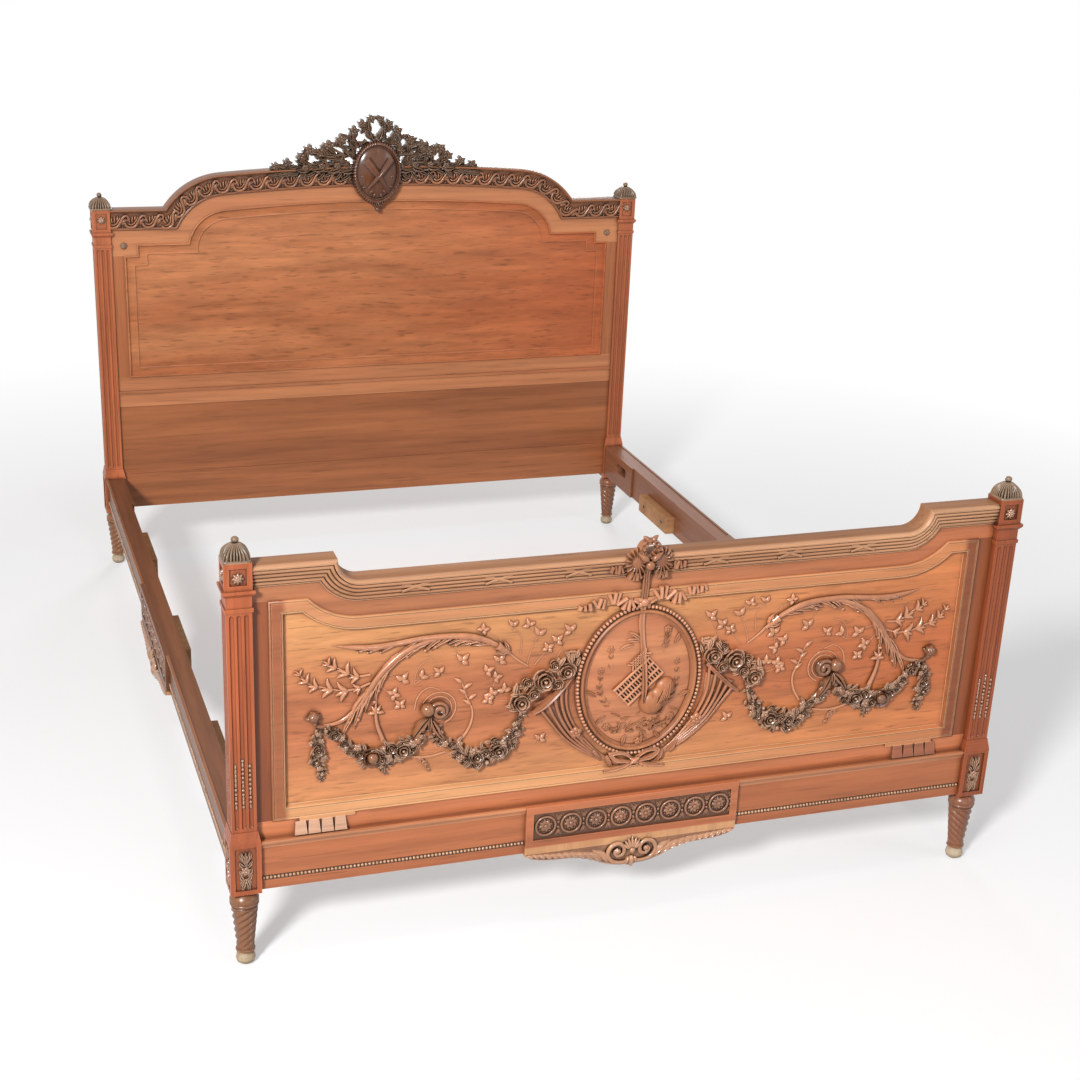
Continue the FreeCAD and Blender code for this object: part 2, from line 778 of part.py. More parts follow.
def tablet(lift):
    x = tablet_half_length
    z0, z1 = lift, lift + tablet_height
    body = box(-x, x, -tablet_proud, 0, z0, z1)
    return body.cut(box(-x + tablet_frame_x, x - tablet_frame_x, -tablet_proud, -tablet_proud + tablet_recess,
                        z0 + tablet_frame_z, z1 - tablet_frame_z))


def apron(lift):
    """Fillet under the tablet with a leaf-shaped drop below the rail."""
    x = tablet_half_length
    fillet = box(-x, x, -tablet_proud + fillet_setback, 0, 0, lift)
    half = [((-x * 0.8, -apron_end_drop * 1.2), (-x * 0.5, -apron_end_drop * 1.6)),
            ((-x * 0.3, -apron_drop * 0.45), (-apron_boss_radius, -apron_drop * 0.8))]
    start = (-x, -apron_end_drop * 0.5)
    boss = ((0, -apron_drop), (apron_boss_radius, -apron_drop * 0.8))
    face = outline(start, half + [boss] + flipped(half, start) + [(x, 0), (-x, 0)])
    front = -tablet_proud + apron_setback
    return fuse([fillet, slab(face, front, front + apron_thickness)])


def mouldings(run, height):
    """Ledge and bead row on both sides of the tablet, out to a given half length."""
    solids = []
    x = tablet_half_length + joint_fit
    top = height + ledge_rise
    for x0, x1 in ((-run, -x), (x, run)):
        corners = [(0, top), (-ledge_proud, top), (-ledge_proud, top - ledge_height * 0.35),
                   (-ledge_foot, top - ledge_height), (0, top - ledge_height), (0, top)]
        section = Part.Face(Part.makePolygon([V(x0, y, z) for y, z in corners]))
        solids.append(section.extrude(V(x1 - x0, 0, 0)))
        bead = Part.makeCylinder(bead_radius, x1 - x0, V(x0, 0, bead_height), V(1, 0, 0))
        solids.append(bead.common(box(x0, x1, -bead_radius * 2, 0, 0, bead_height * 2)))
    return Part.makeCompound(solids)


def on_foot(shape):
    return moved(shape, 0, foot_front_y + bottom_rail_face, foot_rail_z)


def on_left_rail(shape):
    copy = shape.copy()
    copy.rotate(V(0, 0, 0), V(0, 0, 1), -90)
    return moved(copy, -rail_outer_x, 0, rail_z)


# Carved work on the panel

def arc_through(a, b, c):
    """Centre and radius of the circle through three points."""
    d = 2 * (a[0] * (b[1] - c[1]) + b[0] * (c[1] - a[1]) + c[0] * (a[1] - b[1]))
    sq = [p[0] ** 2 + p[1] ** 2 for p in (a, b, c)]
    x = (sq[0] * (b[1] - c[1]) + sq[1] * (c[1] - a[1]) + sq[2] * (a[1] - b[1])) / d
    z = (sq[0] * (c[0] - b[0]) + sq[1] * (a[0] - c[0]) + sq[2] * (b[0] - a[0])) / d
    return (x, z), math.hypot(a[0] - x, a[1] - z)


def arc_band(a, b, c, width_a, width_c):
    """Curved band along the arc through three points, with a width at each end."""
    centre, radius = arc_through(a, b, c)

    def pushed(p, by):
        k = (radius + by) / radius
        return (centre[0] + (p[0] - centre[0]) * k, centre[1] + (p[1] - centre[1]) * k)
    mean = (width_a + width_c) / 4
    outer = [pushed(a, width_a / 2), pushed(b, mean), pushed(c, width_c / 2)]
    inner = [pushed(a, -width_a / 2), pushed(b, -mean), pushed(c, -width_c / 2)]
    return outline(outer[0], [(outer[1], outer[2]), inner[2], (inner[1], inner[0])])


def at_medallion(point):
    return (-point[0], medallion_z + point[1])


def disc(point, radius):
    return ellipse(point[0], point[1], radius, radius)


def carving():
    """Horn of flowers, two festoons, scroll and pendant on the left half of the panel."""
    depth = panel_field_depth
    deep = depth - carving_height
    shallow = depth - scroll_height
    solids = []
    far = (carving_end_x, -carving_end_drop)
    near = inner_festoon[2]
    outer_festoon = (near, ((near[0] + far[0]) / 2, -outer_festoon_sag), far)
    for path in (inner_festoon, outer_festoon):
        face = arc_band(*[at_medallion(p) for p in path], festoon_band, festoon_band)
        solids.append(foot_slab(face, deep, depth))
    bend = [at_medallion(p) for p in (horn_mouth, horn_bend, horn_tip)]
    horn = arc_band(*bend, horn_mouth_band, horn_tip_band)
    solids.append(foot_slab(horn, deep, depth))
    halfway = ((horn_mouth[0] + inner_festoon[0][0]) / 2, horn_mouth[1])
    joined = [at_medallion(p) for p in (horn_mouth, halfway, inner_festoon[0])]
    link = arc_band(*joined, horn_mouth_band, festoon_band)
    solids.append(foot_slab(link, deep, depth))
    scroll_top = ((scroll_start[0] + far[0]) / 2, scroll_rise)
    scroll = arc_band(*[at_medallion(p) for p in (scroll_start, scroll_top, far)], scroll_band, scroll_band)
    solids.append(foot_slab(scroll, shallow, depth))
    solids.append(foot_slab(disc(at_medallion(scroll_ball), scroll_ball_radius), deep, depth))
    top = at_medallion(far)
    tip = at_medallion((far[0], -pendant_drop))
    half = festoon_band / 2
    drop = outline((top[0] - half, top[1]), [(top[0] + half, top[1]), (tip[0] + half / 3, tip[1]),
                                             (tip[0] - half / 3, tip[1])])
    solids.append(foot_slab(drop, deep, depth))
    rim = ellipse(0, medallion_z, medallion_half_width + joint_fit, medallion_half_height + joint_fit)
    middle = foot_box(-joint_fit, medallion_half_width, 0, depth, foot_panel_z, panel_top_z)
    return fuse(solids).cut([foot_slab(rim, 0, depth + overshoot), middle])


def medallion_frame():
    def oval(inset):
        return ellipse(0, medallion_z, medallion_half_width - inset, medallion_half_height - inset)
    outer, step, inner = oval(0), oval(medallion_rim / 2), oval(medallion_rim)
    depth = panel_field_depth
    low = foot_slab(outer, depth - medallion_height / 2, depth)
    high = foot_slab(step, depth - medallion_height, depth - medallion_height / 2)
    return low.fuse(high).cut(foot_slab(inner, 0, depth + overshoot)).removeSplitter()


def medallion_field():
    """Sunk oval with a plain basket and gourd standing for the carved trophy."""
    half_x = medallion_half_width - medallion_rim - joint_fit
    half_z = medallion_half_height - medallion_rim - joint_fit
    depth = panel_field_depth
    front = depth - medallion_field_height
    field = foot_slab(ellipse(0, medallion_z, half_x, half_z), front, depth)
    basket = foot_box(-half_x * 0.42, half_x * 0.28, depth - carving_height, front,
                      medallion_z - half_z * 0.12, medallion_z + half_z * 0.22)
    basket.rotate(V(0, 0, medallion_z), V(0, 1, 0), -28)
    spot = (half_x * 0.32, medallion_z - half_z * 0.2)
    gourd = foot_slab(disc(spot, half_x * 0.3), depth - carving_height, front)
    return fuse([field, basket, gourd])


def bow():
    """Ribbon bow on the cornice with its tail hanging down to the medallion."""
    low_top = cornice_top_z - ramp_drop
    centre_z = low_top + bow_rise
    front = cornice_front - ribbon_thickness - joint_fit
    back = cornice_front
    solids = [foot_slab(disc((0, centre_z), bow_radius), front, back)]
    for i in range(bow_lobes):
        angle = 2 * math.pi * i / bow_lobes + math.pi / 2
        spot = (bow_reach * math.cos(angle), centre_z + bow_reach * math.sin(angle))
        solids.append(foot_slab(disc(spot, bow_radius), front, back))
    half = ribbon_width / 2
    cornice_low = low_top - cornice_height
    tail_front = foot_face - border_proud - ribbon_thickness
    solids.append(foot_box(-half, half, front, front + ribbon_thickness, cornice_low - ribbon_width, centre_z))
    solids.append(foot_box(-half, half, front, foot_face, cornice_low - ribbon_width, cornice_low - joint_fit))
    tail_foot = medallion_z + medallion_half_height + joint_fit
    border_low = panel_top_z - ramp_drop
    solids.append(foot_box(-half, half, tail_front, tail_front + ribbon_thickness, tail_foot,
                           cornice_low - ribbon_width))
    solids.append(foot_box(-half, half, tail_front, foot_face, border_low, cornice_low - ribbon_width))
    return fuse(solids)


# Headboard

def notched(offset_top, grow):
    """Lower line of the head frame, grown into the frame: stile corner, notch and arch."""
    x = head_stile_x + grow
    start, steps = crest_line(offset_top - grow, x - corner_notch_width)
    foot = notch_foot_z + grow
    return x, foot, start, steps


def head_panel_face(grow):
    x, foot, start, steps = notched(notch_top, grow)
    low = head_panel_z - grow
    return outline((-x, low), [(-x, foot), (start[0], foot), start] + steps
                   + [(-start[0], foot), (x, foot), (x, low)])


def head_groove():
    mid = head_face + panel_recess + panel_thickness / 2
    half = tongue_thickness / 2 + joint_fit
    return head_slab(head_panel_face(tongue_length + panel_float), mid - half, mid + half)


def head_top_rail():
    upper = crest_line(crest_band, frame_end_x)
    start, steps = upper
    face = outline(start, steps + [(frame_end_x, notch_foot_z), (-frame_end_x, notch_foot_z)])
    body = head_slab(face.cut(head_panel_face(0)), head_face, head_back)
    ends = both_sides(tenon(head_front_y, *head_tenons[2]))
    return fuse([body] + ends).cut([head_groove()] + head_stile_mortises(notch_foot_z, 1))


def head_stile_tenon(z, up, fit=0.0):
    zs = sorted((z - up * fit, z + up * (stile_tenon_length + fit)))
    return head_box(-frame_end_x + tenon_shoulder - fit, -head_stile_x - tongue_length - stile_tenon_inset + fit,
                    head_face + tenon_shoulder - fit, head_back - tenon_shoulder + fit, zs[0], zs[1])


def head_stile_mortises(z, up):
    return both_sides(head_stile_tenon(z, up, joint_fit))


def head_stile():
    body = head_box(-frame_end_x, -head_stile_x, head_face, head_back, head_panel_z, notch_foot_z)
    ends = [head_stile_tenon(notch_foot_z, 1), head_stile_tenon(head_panel_z, -1)]
    return fuse([body] + ends).cut(head_groove())


def head_panel():
    depth = head_face + panel_recess
    mid = depth + panel_thickness / 2
    half = tongue_thickness / 2
    field = head_slab(head_panel_face(-joint_fit), depth, depth + panel_thickness)
    return field.fuse(head_slab(head_panel_face(tongue_length), mid - half, mid + half)).removeSplitter()


def head_panel_moulding():
    ring = head_panel_face(-joint_fit).cut(head_panel_face(-joint_fit - head_moulding_width))
    return head_slab(ring, head_face - head_moulding_proud, head_face + panel_recess)


def lower_panel_groove():
    """Groove for the plain lower panel in the rails above and below it and in the posts."""
    grow = tongue_length + panel_float
    mid = head_face + head_lower_panel_recess + panel_thickness / 2
    half = tongue_thickness / 2 + joint_fit
    return head_box(-frame_end_x - grow, frame_end_x + grow, mid - half, mid + half,
                    head_lower_panel_z - grow, head_middle_z + grow)


def head_lower_panel():
    depth = head_face + head_lower_panel_recess
    mid = depth + panel_thickness / 2
    half = tongue_thickness / 2
    x = frame_end_x
    low, high = head_lower_panel_z + joint_fit, head_middle_z - joint_fit
    field = head_box(-x, x, depth, depth + panel_thickness, low, high)
    upright = head_box(-x, x, mid - half, mid + half, head_lower_panel_z - tongue_length,
                       head_middle_z + tongue_length)
    across = head_box(-x - tongue_length, x + tongue_length, mid - half, mid + half, low, high)
    return fuse([field, upright, across])


def head_middle_rail():
    body = head_box(-frame_end_x, frame_end_x, head_face, head_back, head_middle_z, head_panel_z)
    ends = both_sides(tenon(head_front_y, *head_tenons[1]))
    cuts = [head_groove(), lower_panel_groove()] + head_stile_mortises(head_panel_z, -1)
    return fuse([body.cut(cuts)] + ends)


def middle_moulding():
    z = head_middle_z + middle_moulding_up
    return head_box(-frame_end_x, frame_end_x, head_face - middle_moulding_proud, head_face,
                    z, z + middle_moulding_height)


def head_bottom_rail():
    body = head_box(-frame_end_x, frame_end_x, head_face, head_back, head_rail_z, head_lower_panel_z)
    ends = both_sides(tenon(head_front_y, *head_tenons[0]))
    return fuse([body.cut(lower_panel_groove())] + ends)


def head_crest_rail():
    top = crest_line(0, frame_end_x)
    cap = head_slab(band(top, crest_line(crest_cap, frame_end_x)), crest_cap_front, crest_back)
    face = band(crest_line(crest_cap, frame_end_x), crest_line(crest_band, frame_end_x))
    ends = both_sides(tenon(head_front_y, *head_tenons[3]))
    return fuse([cap, head_slab(face, crest_band_front, crest_back)] + ends)


def crest_carving():
    """Pierced foliage over the middle of the crest: lobed outline with round eyes."""
    tip_z = crest_apex_z + crest_leaf_top
    base = (-crest_leaf_half_length, crest_end_z + crest_rise / 2)
    body = outline(base, [(-crest_leaf_half_length * 0.8, crest_apex_z + crest_lobe_radius),
                          (-crest_lobe_radius, tip_z - crest_lobe_radius),
                          (crest_lobe_radius, tip_z - crest_lobe_radius),
                          (crest_leaf_half_length * 0.8, crest_apex_z + crest_lobe_radius),
                          (-base[0], base[1])])
    faces = [body]
    for i in range(crest_lobes):
        share = i / (crest_lobes - 1)
        x = crest_leaf_half_length * 0.8 * (1 - share)
        z = crest_apex_z + crest_lobe_radius * 0.6 + share * (crest_leaf_top - 1.6 * crest_lobe_radius)
        faces += [disc((s * x, z), crest_lobe_radius) for s in (-1, 1)]
    back = crest_leaf_front + crest_leaf_thickness
    solid = fuse([head_slab(face, crest_leaf_front, back) for face in faces])
    eyes = [disc((0, tip_z - 2.2 * heart_eye_radius), heart_eye_radius)]
    for i in range(crest_eyes):
        share = i / (crest_eyes - 1)
        x = crest_eye_reach + share * (crest_leaf_half_length * 0.72 - crest_eye_reach)
        z = crest_apex_z + crest_eye_radius + (1 - share) * crest_leaf_top * 0.38
        eyes += [disc((s * x, z), crest_eye_radius) for s in (-1, 1)]
    cuts = [head_slab(eye, 0, back + overshoot) for eye in eyes]
    start, steps = crest_line(0, frame_end_x)
    below = outline(start, steps + [(frame_end_x, head_panel_z), (-frame_end_x, head_panel_z)])
    cuts.append(head_slab(below, 0, back + overshoot))
    return solid.cut(cuts)


def cartouche():
    """Oval shield standing in front of the crest, domed towards the foot of the bed."""
    z = crest_apex_z - cartouche_below_crest
    rim = ellipse(0, z, cartouche_half_width, cartouche_half_height)
    plate = head_slab(rim, crest_cap_front - cartouche_edge, crest_cap_front)
    dome = Part.makeSphere(1.0)
    squash = FreeCAD.Matrix()
    squash.scale(cartouche_half_width * 0.86, cartouche_dome - cartouche_edge, cartouche_half_height * 0.86)
    dome = dome.transformGeometry(squash)
    dome = moved(dome, 0, head_front_y + crest_cap_front - cartouche_edge, z)
    behind = head_box(-cartouche_half_width, cartouche_half_width, crest_cap_front - cartouche_edge,
                      crest_cap_front + cartouche_dome, z - cartouche_half_height, z + cartouche_half_height)
    return fuse([plate, dome.cut(behind)])


def corner_rosettes():
    """Round bosses on the re-entrant corners of the head panel."""
    body = turned([(corner_rosette_radius, 0), (corner_rosette_radius * 0.9, corner_rosette_height * 0.5),
                   (corner_rosette_radius * 0.4, corner_rosette_height)])
    body.rotate(V(0, 0, 0), V(1, 0, 0), 90)
    place = moved(body, -head_stile_x, head_front_y + head_face, notch_foot_z + corner_notch_height * 0.9)
    return Part.makeCompound(both_sides(place))


# Side rails and hardware, built on the left

def pocket(end_sign):
    """Oval pocket for the head of a bed screw, open on the inner face."""
    r = pocket_height / 2
    near = end_sign * pocket_end_y
    far = end_sign * (pocket_end_y - pocket_length)
    low, high = sorted((near, far))
    x0, x1 = -rail_outer_x + pocket_floor, -rail_inner_x + end_block_thickness + overshoot
    ends = [Part.makeCylinder(r, x1 - x0, V(x0, y, screw_z), V(1, 0, 0)) for y in (low + r, high - r)]
    return fuse([box(x0, x1, low + r, high - r, screw_z - r, screw_z + r)] + ends)


def screw_seat(end_sign):
    """Flat seat for the screw head at the post end of the pocket, and the hole through the rail's end."""
    axis = V(0, end_sign, 0)
    start = V(-rail_axis_x, end_sign * (pocket_end_y - screw_head_length), screw_z)
    reach = rail_end_y + rail_tenon_length - pocket_end_y + screw_head_length
    hole = Part.makeCylinder(screw_radius + running_fit, reach, start, axis)
    seat = Part.makeCylinder(screw_head_radius + running_fit, screw_head_length + overshoot, start, axis)
    return [hole, seat.common(seat_limit(end_sign))]


def seat_limit(end_sign):
    ys = sorted((0, end_sign * pocket_end_y))
    return box(-bed_width / 2, 0, ys[0], ys[1], 0, leg_height + bed_width)


def rail_tenon(end_sign):
    z = rail_z + rail_tenon_up
    ys = sorted((end_sign * rail_end_y, end_sign * (rail_end_y + rail_tenon_length)))
    half = rail_tenon_thickness / 2
    return box(-rail_axis_x - half, -rail_axis_x + half, ys[0], ys[1], z, z + rail_tenon_height)


def cleat_places():
    first = cleat_from_end - rail_end_y
    return [first * (1 - 2 * i / (cleat_count - 1)) for i in range(cleat_count)]


def cleat_screw_spots():
    run = cleat_length / 2 - cleat_screw_inset
    z = rail_z + cleat_lift + cleat_height / 2
    return [(y + s * run, z) for y in cleat_places() for s in (-1, 1)]


def cleat_screw(y, z, fit):
    """Countersunk wood screw through a cleat into the rail, or with a fit the hole for it."""
    face = -rail_inner_x + cleat_thickness
    axis = V(-1, 0, 0)
    shank = Part.makeCylinder(cleat_screw_radius + fit, cleat_screw_length + fit, V(face, y, z), axis)
    head = Part.makeCone(cleat_screw_head_radius + fit, cleat_screw_radius + fit, cleat_screw_head_height,
                         V(face, y, z), axis)
    return fuse([shank, head])


def side_rail():
    y = rail_end_y
    body = box(-rail_outer_x, -rail_inner_x, -y, y, rail_z, rail_top_z)
    body = fuse([body] + [rail_tenon(s) for s in (-1, 1)])
    for s in (-1, 1):
        for cutter in [pocket(s)] + screw_seat(s):
            body = body.cut(cutter)
    return body.cut([cleat_screw(*spot, screw_hole_fit) for spot in cleat_screw_spots()])


def end_blocks():
    """Thickening blocks glued to the inner face at both ends of a rail."""
    blocks = []
    for s in (-1, 1):
        ys = sorted((s * rail_end_y, s * (rail_end_y - end_block_length)))
        block = box(-rail_inner_x, -rail_inner_x + end_block_thickness, ys[0], ys[1], rail_z, rail_top_z)
        blocks.append(block.cut(pocket(s)))
    return blocks


def cleats():
    z = rail_z + cleat_lift
    solids = []
    for y in cleat_places():
        solids.append(box(-rail_inner_x, -rail_inner_x + cleat_thickness,
                          y - cleat_length / 2, y + cleat_length / 2, z, z + cleat_height))
    cuts = [cleat_screw(*spot, screw_hole_fit) for spot in cleat_screw_spots()]
    return [solid.cut(cuts) for solid in solids]


def bed_screw(end_sign):
    """Capstan-headed bed screw lying in the rail, its end in the post."""
    face = pocket_end_y - running_fit
    axis = V(0, end_sign, 0)
    head = Part.makeCylinder(screw_head_radius, screw_head_length,
                             V(-rail_axis_x, end_sign * (face - screw_head_length), screw_z), axis)
    shank = Part.makeCylinder(screw_radius, rail_end_y + screw_reach - face,
                              V(-rail_axis_x, end_sign * face, screw_z), axis)
    middle = V(-rail_axis_x, end_sign * (face - screw_head_length / 2), screw_z)
    tommy = []
    for direction in (V(1, 0, 0), V(0, 0, 1)):
        reach = screw_head_radius + overshoot
        tommy.append(Part.makeCylinder(tommy_hole_radius, 2 * reach, middle - direction * reach, direction))
    return fuse([head, shank]).cut(tommy)


def nut_plate(end_sign):
    """Square iron nut let into the post where the rail meets it."""
    half = nut_plate_side / 2
    ys = sorted((end_sign * rail_end_y, end_sign * (rail_end_y + nut_plate_thickness)))
    plate = box(-rail_axis_x - half, -rail_axis_x + half, ys[0], ys[1], screw_z - half, screw_z + half)
    hole = Part.makeCylinder(screw_radius + nut_fit, nut_plate_thickness + 2 * overshoot,
                             V(-rail_axis_x, ys[0] - overshoot, screw_z), V(0, 1, 0))
    return plate.cut(hole)


# The nodes

save_pair("foot_post", foot_post())
save_pair("head_post", head_post().cut(lower_panel_groove()))

foot_cap = moved(finial(foot_finial_height, 0), -post_x, -post_y, foot_block_top_z)
head_cap = moved(finial(head_finial_height, head_cap_overhang), -post_x, post_y, head_block_top_z)
save_pair("foot_finial", foot_cap)
save_pair("head_finial", head_cap)

save_pair("foot_leg", moved(leg(), -post_x, -post_y, 0))
save_pair("head_leg", moved(leg(), -post_x, post_y, 0))
feet = [moved(ball_foot(), sx * post_x, sy * post_y, 0) for sx in (-1, 1) for sy in (-1, 1)]
save("ball_feet", Part.makeCompound(feet))

left_rosettes = (block_rosettes(-post_y, foot_block_top_z, foot_top_block_height)
                 + block_rosettes(post_y, head_block_top_z, head_top_block_height))
save("post_rosettes", Part.makeCompound(left_rosettes + [mirrored(r) for r in left_rosettes]))

save("foot_cornice", foot_cornice())
save("foot_top_rail", foot_top_rail())
save_pair("foot_stile", foot_stile())
save("foot_panel", foot_panel())
save("foot_panel_border", foot_panel_border())
save("foot_guttae", guttae())
save("foot_bottom_rail", foot_bottom_rail())
foot_run = bed_width / 2 - block_side - joint_fit
save("foot_mouldings", on_foot(mouldings(foot_run, foot_bottom_rail_height)))
save("foot_tablet", on_foot(tablet(foot_tablet_lift)))
save("foot_apron", on_foot(apron(foot_tablet_lift)))
save_pair("foot_carving", carving())
save("foot_medallion_frame", medallion_frame())
save("foot_medallion_field", medallion_field())
save("foot_bow", bow())

save("head_crest_rail", head_crest_rail())
save("head_crest_carving", crest_carving())
save("head_cartouche", cartouche())
save("head_top_rail", head_top_rail())
save_pair("head_stile", head_stile())
save("head_panel", head_panel())
save("head_panel_moulding", head_panel_moulding())
save("head_corner_rosettes", corner_rosettes())
save("head_middle_rail", head_middle_rail())
save("head_middle_moulding", middle_moulding())
save("head_lower_panel", head_lower_panel())
save("head_bottom_rail", head_bottom_rail())

save_pair("side_rail", side_rail())
save_pair("rail_mouldings", on_left_rail(mouldings(rail_end_y - joint_fit, rail_height)))
save_pair("rail_tablet", on_left_rail(tablet(rail_tablet_lift)))
save_pair("rail_apron", on_left_rail(apron(rail_tablet_lift)))
save("rail_end_blocks", Part.makeCompound(end_blocks() + [mirrored(b) for b in end_blocks()]))
save("rail_cleats", Part.makeCompound(cleats() + [mirrored(c) for c in cleats()]))
wood_screws = [cleat_screw(*spot, 0) for spot in cleat_screw_spots()]
save("cleat_screws", Part.makeCompound(wood_screws + [mirrored(s) for s in wood_screws]))
save_pair("bed_screw_foot", bed_screw(-1))
save_pair("bed_screw_head", bed_screw(1))
plates = [nut_plate(s) for s in (-1, 1)]
save("post_nut_plates", Part.makeCompound(plates + [mirrored(p) for p in plates]))
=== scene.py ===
import json
import math
import random

import bmesh
import bpy
from mathutils import Matrix, Vector

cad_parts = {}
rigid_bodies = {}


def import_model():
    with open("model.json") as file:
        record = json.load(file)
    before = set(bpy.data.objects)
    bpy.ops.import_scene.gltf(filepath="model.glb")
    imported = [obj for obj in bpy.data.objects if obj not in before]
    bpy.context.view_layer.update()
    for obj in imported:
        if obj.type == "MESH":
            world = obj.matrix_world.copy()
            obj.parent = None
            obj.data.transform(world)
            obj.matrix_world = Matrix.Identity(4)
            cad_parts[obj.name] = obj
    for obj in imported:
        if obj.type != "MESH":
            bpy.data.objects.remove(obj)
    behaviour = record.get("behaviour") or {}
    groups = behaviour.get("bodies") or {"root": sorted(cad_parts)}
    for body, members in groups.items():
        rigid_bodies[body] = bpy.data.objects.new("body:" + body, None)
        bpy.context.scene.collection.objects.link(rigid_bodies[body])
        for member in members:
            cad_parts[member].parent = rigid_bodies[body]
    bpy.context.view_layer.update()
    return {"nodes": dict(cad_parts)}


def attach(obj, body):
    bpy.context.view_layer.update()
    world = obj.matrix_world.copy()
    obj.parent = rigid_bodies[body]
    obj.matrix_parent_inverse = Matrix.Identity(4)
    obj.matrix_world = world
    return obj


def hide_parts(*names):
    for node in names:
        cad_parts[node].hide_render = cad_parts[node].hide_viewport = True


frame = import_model()
nodes = frame["nodes"]


def corners(name):
    """Lowest and highest corner of one of the solids, to a tenth of a millimetre."""
    spots = [vertex.co * 1000 for vertex in nodes[name].data.vertices]
    low = [round(min(spot[k] for spot in spots), 1) for k in range(3)]
    high = [round(max(spot[k] for spot in spots), 1) for k in range(3)]
    return low, high


# Places in millimetres, from the solids where their boxes show them
post_low, post_high = corners("foot_post_right")
FOOT = post_low[1]                             # front of the foot posts
HEAD = corners("head_post_right")[0][1]        # front of the head posts
POST_X = (post_low[0] + post_high[0]) / 2
POST_Y = -(post_low[1] + post_high[1]) / 2
POST_HALF = (post_high[0] - post_low[0]) / 2
RAIL_X = corners("side_rail_right")[1][0]      # outer face of the side rails
FRAME_X = 700.3                                # ends of the boards' rails
FIELD = 24.0                                   # depth of the footboard's panel field
MEDAL_Z, MEDAL_U, MEDAL_V = 478.0, 118, 145    # middle and half axes of the medallion's bead ring
CREST_END, CREST_APEX = 972.5, 1074.0
CREST_CORNER, CREST_SHOULDER, CREST_ANGLE = 560.0, 198.0, 55.4
CREST_BAND_MIDDLE = 29.5                       # middle of the wave band below the crest's edge
SHIELD_Z = 1058.0                              # middle of the cartouche
FRONT = (0.0, -1.0, 0.0)
SIDES = ((-1, "left"), (1, "right"))


# Shader groups shared by all the woods

def shader_group(name, inputs, outputs):
    """Empty shader group with its sockets, its input node and its output node."""
    tree = bpy.data.node_groups.new(name, "ShaderNodeTree")
    for label, kind, value in inputs:
        socket = tree.interface.new_socket(label, in_out="INPUT", socket_type=kind)
        if value is not None:
            socket.default_value = value
    for label, kind in outputs:
        tree.interface.new_socket(label, in_out="OUTPUT", socket_type=kind)
    return tree, tree.nodes.new("NodeGroupInput"), tree.nodes.new("NodeGroupOutput")


def node(tree, kind, values=None, **settings):
    """New node with some settings and some values on its sockets."""
    made_node = tree.nodes.new(kind)
    for name, value in settings.items():
        setattr(made_node, name, value)
    for socket, value in (values or {}).items():
        made_node.inputs[socket].default_value = value
    return made_node


FLOAT, VECTOR = "NodeSocketFloat", "NodeSocketVector"


def grain_group():
    """Fibre, broad figure and pores of a wood, from coordinates already stretched along the grain."""
    tree, given, result = shader_group("Grain", [("Vector", VECTOR, None), ("Fibre Scale", FLOAT, 60.0),
                                                 ("Figure Scale", FLOAT, 6.0)],
                                       [("Fibre", FLOAT), ("Figure", FLOAT), ("Streak", FLOAT),
                                        ("Pores", FLOAT)])
    link = tree.links.new
    fibre = node(tree, "ShaderNodeTexNoise", {"Detail": 6.0, "Roughness": 0.62})
    figure = node(tree, "ShaderNodeTexNoise", {"Detail": 3.0, "Roughness": 0.5, "Distortion": 1.6})
    streak = node(tree, "ShaderNodeTexNoise", {"Detail": 5.0, "Roughness": 0.55, "Distortion": 0.9})
    lines = node(tree, "ShaderNodeMapRange", {"From Min": 0.5, "From Max": 0.7})
    closer = node(tree, "ShaderNodeMath", {1: 3.6}, operation="MULTIPLY")
    pores = node(tree, "ShaderNodeTexNoise", {"Detail": 2.0, "Roughness": 0.5})
    finer = node(tree, "ShaderNodeMath", {1: 3.2}, operation="MULTIPLY")
    cut = node(tree, "ShaderNodeMapRange", {"From Min": 0.58, "From Max": 0.72})
    for noise in (fibre, figure, streak, pores):
        link(given.outputs["Vector"], noise.inputs["Vector"])
    link(given.outputs["Fibre Scale"], fibre.inputs["Scale"])
    link(given.outputs["Figure Scale"], figure.inputs["Scale"])
    link(given.outputs["Figure Scale"], closer.inputs[0])
    link(closer.outputs[0], streak.inputs["Scale"])
    link(streak.outputs["Fac"], lines.inputs["Value"])
    link(given.outputs["Fibre Scale"], finer.inputs[0])
    link(finer.outputs[0], pores.inputs["Scale"])
    link(pores.outputs["Fac"], cut.inputs["Value"])
    link(fibre.outputs["Fac"], result.inputs["Fibre"])
    link(figure.outputs["Fac"], result.inputs["Figure"])
    link(lines.outputs["Result"], result.inputs["Streak"])
    link(cut.outputs["Result"], result.inputs["Pores"])
    return tree


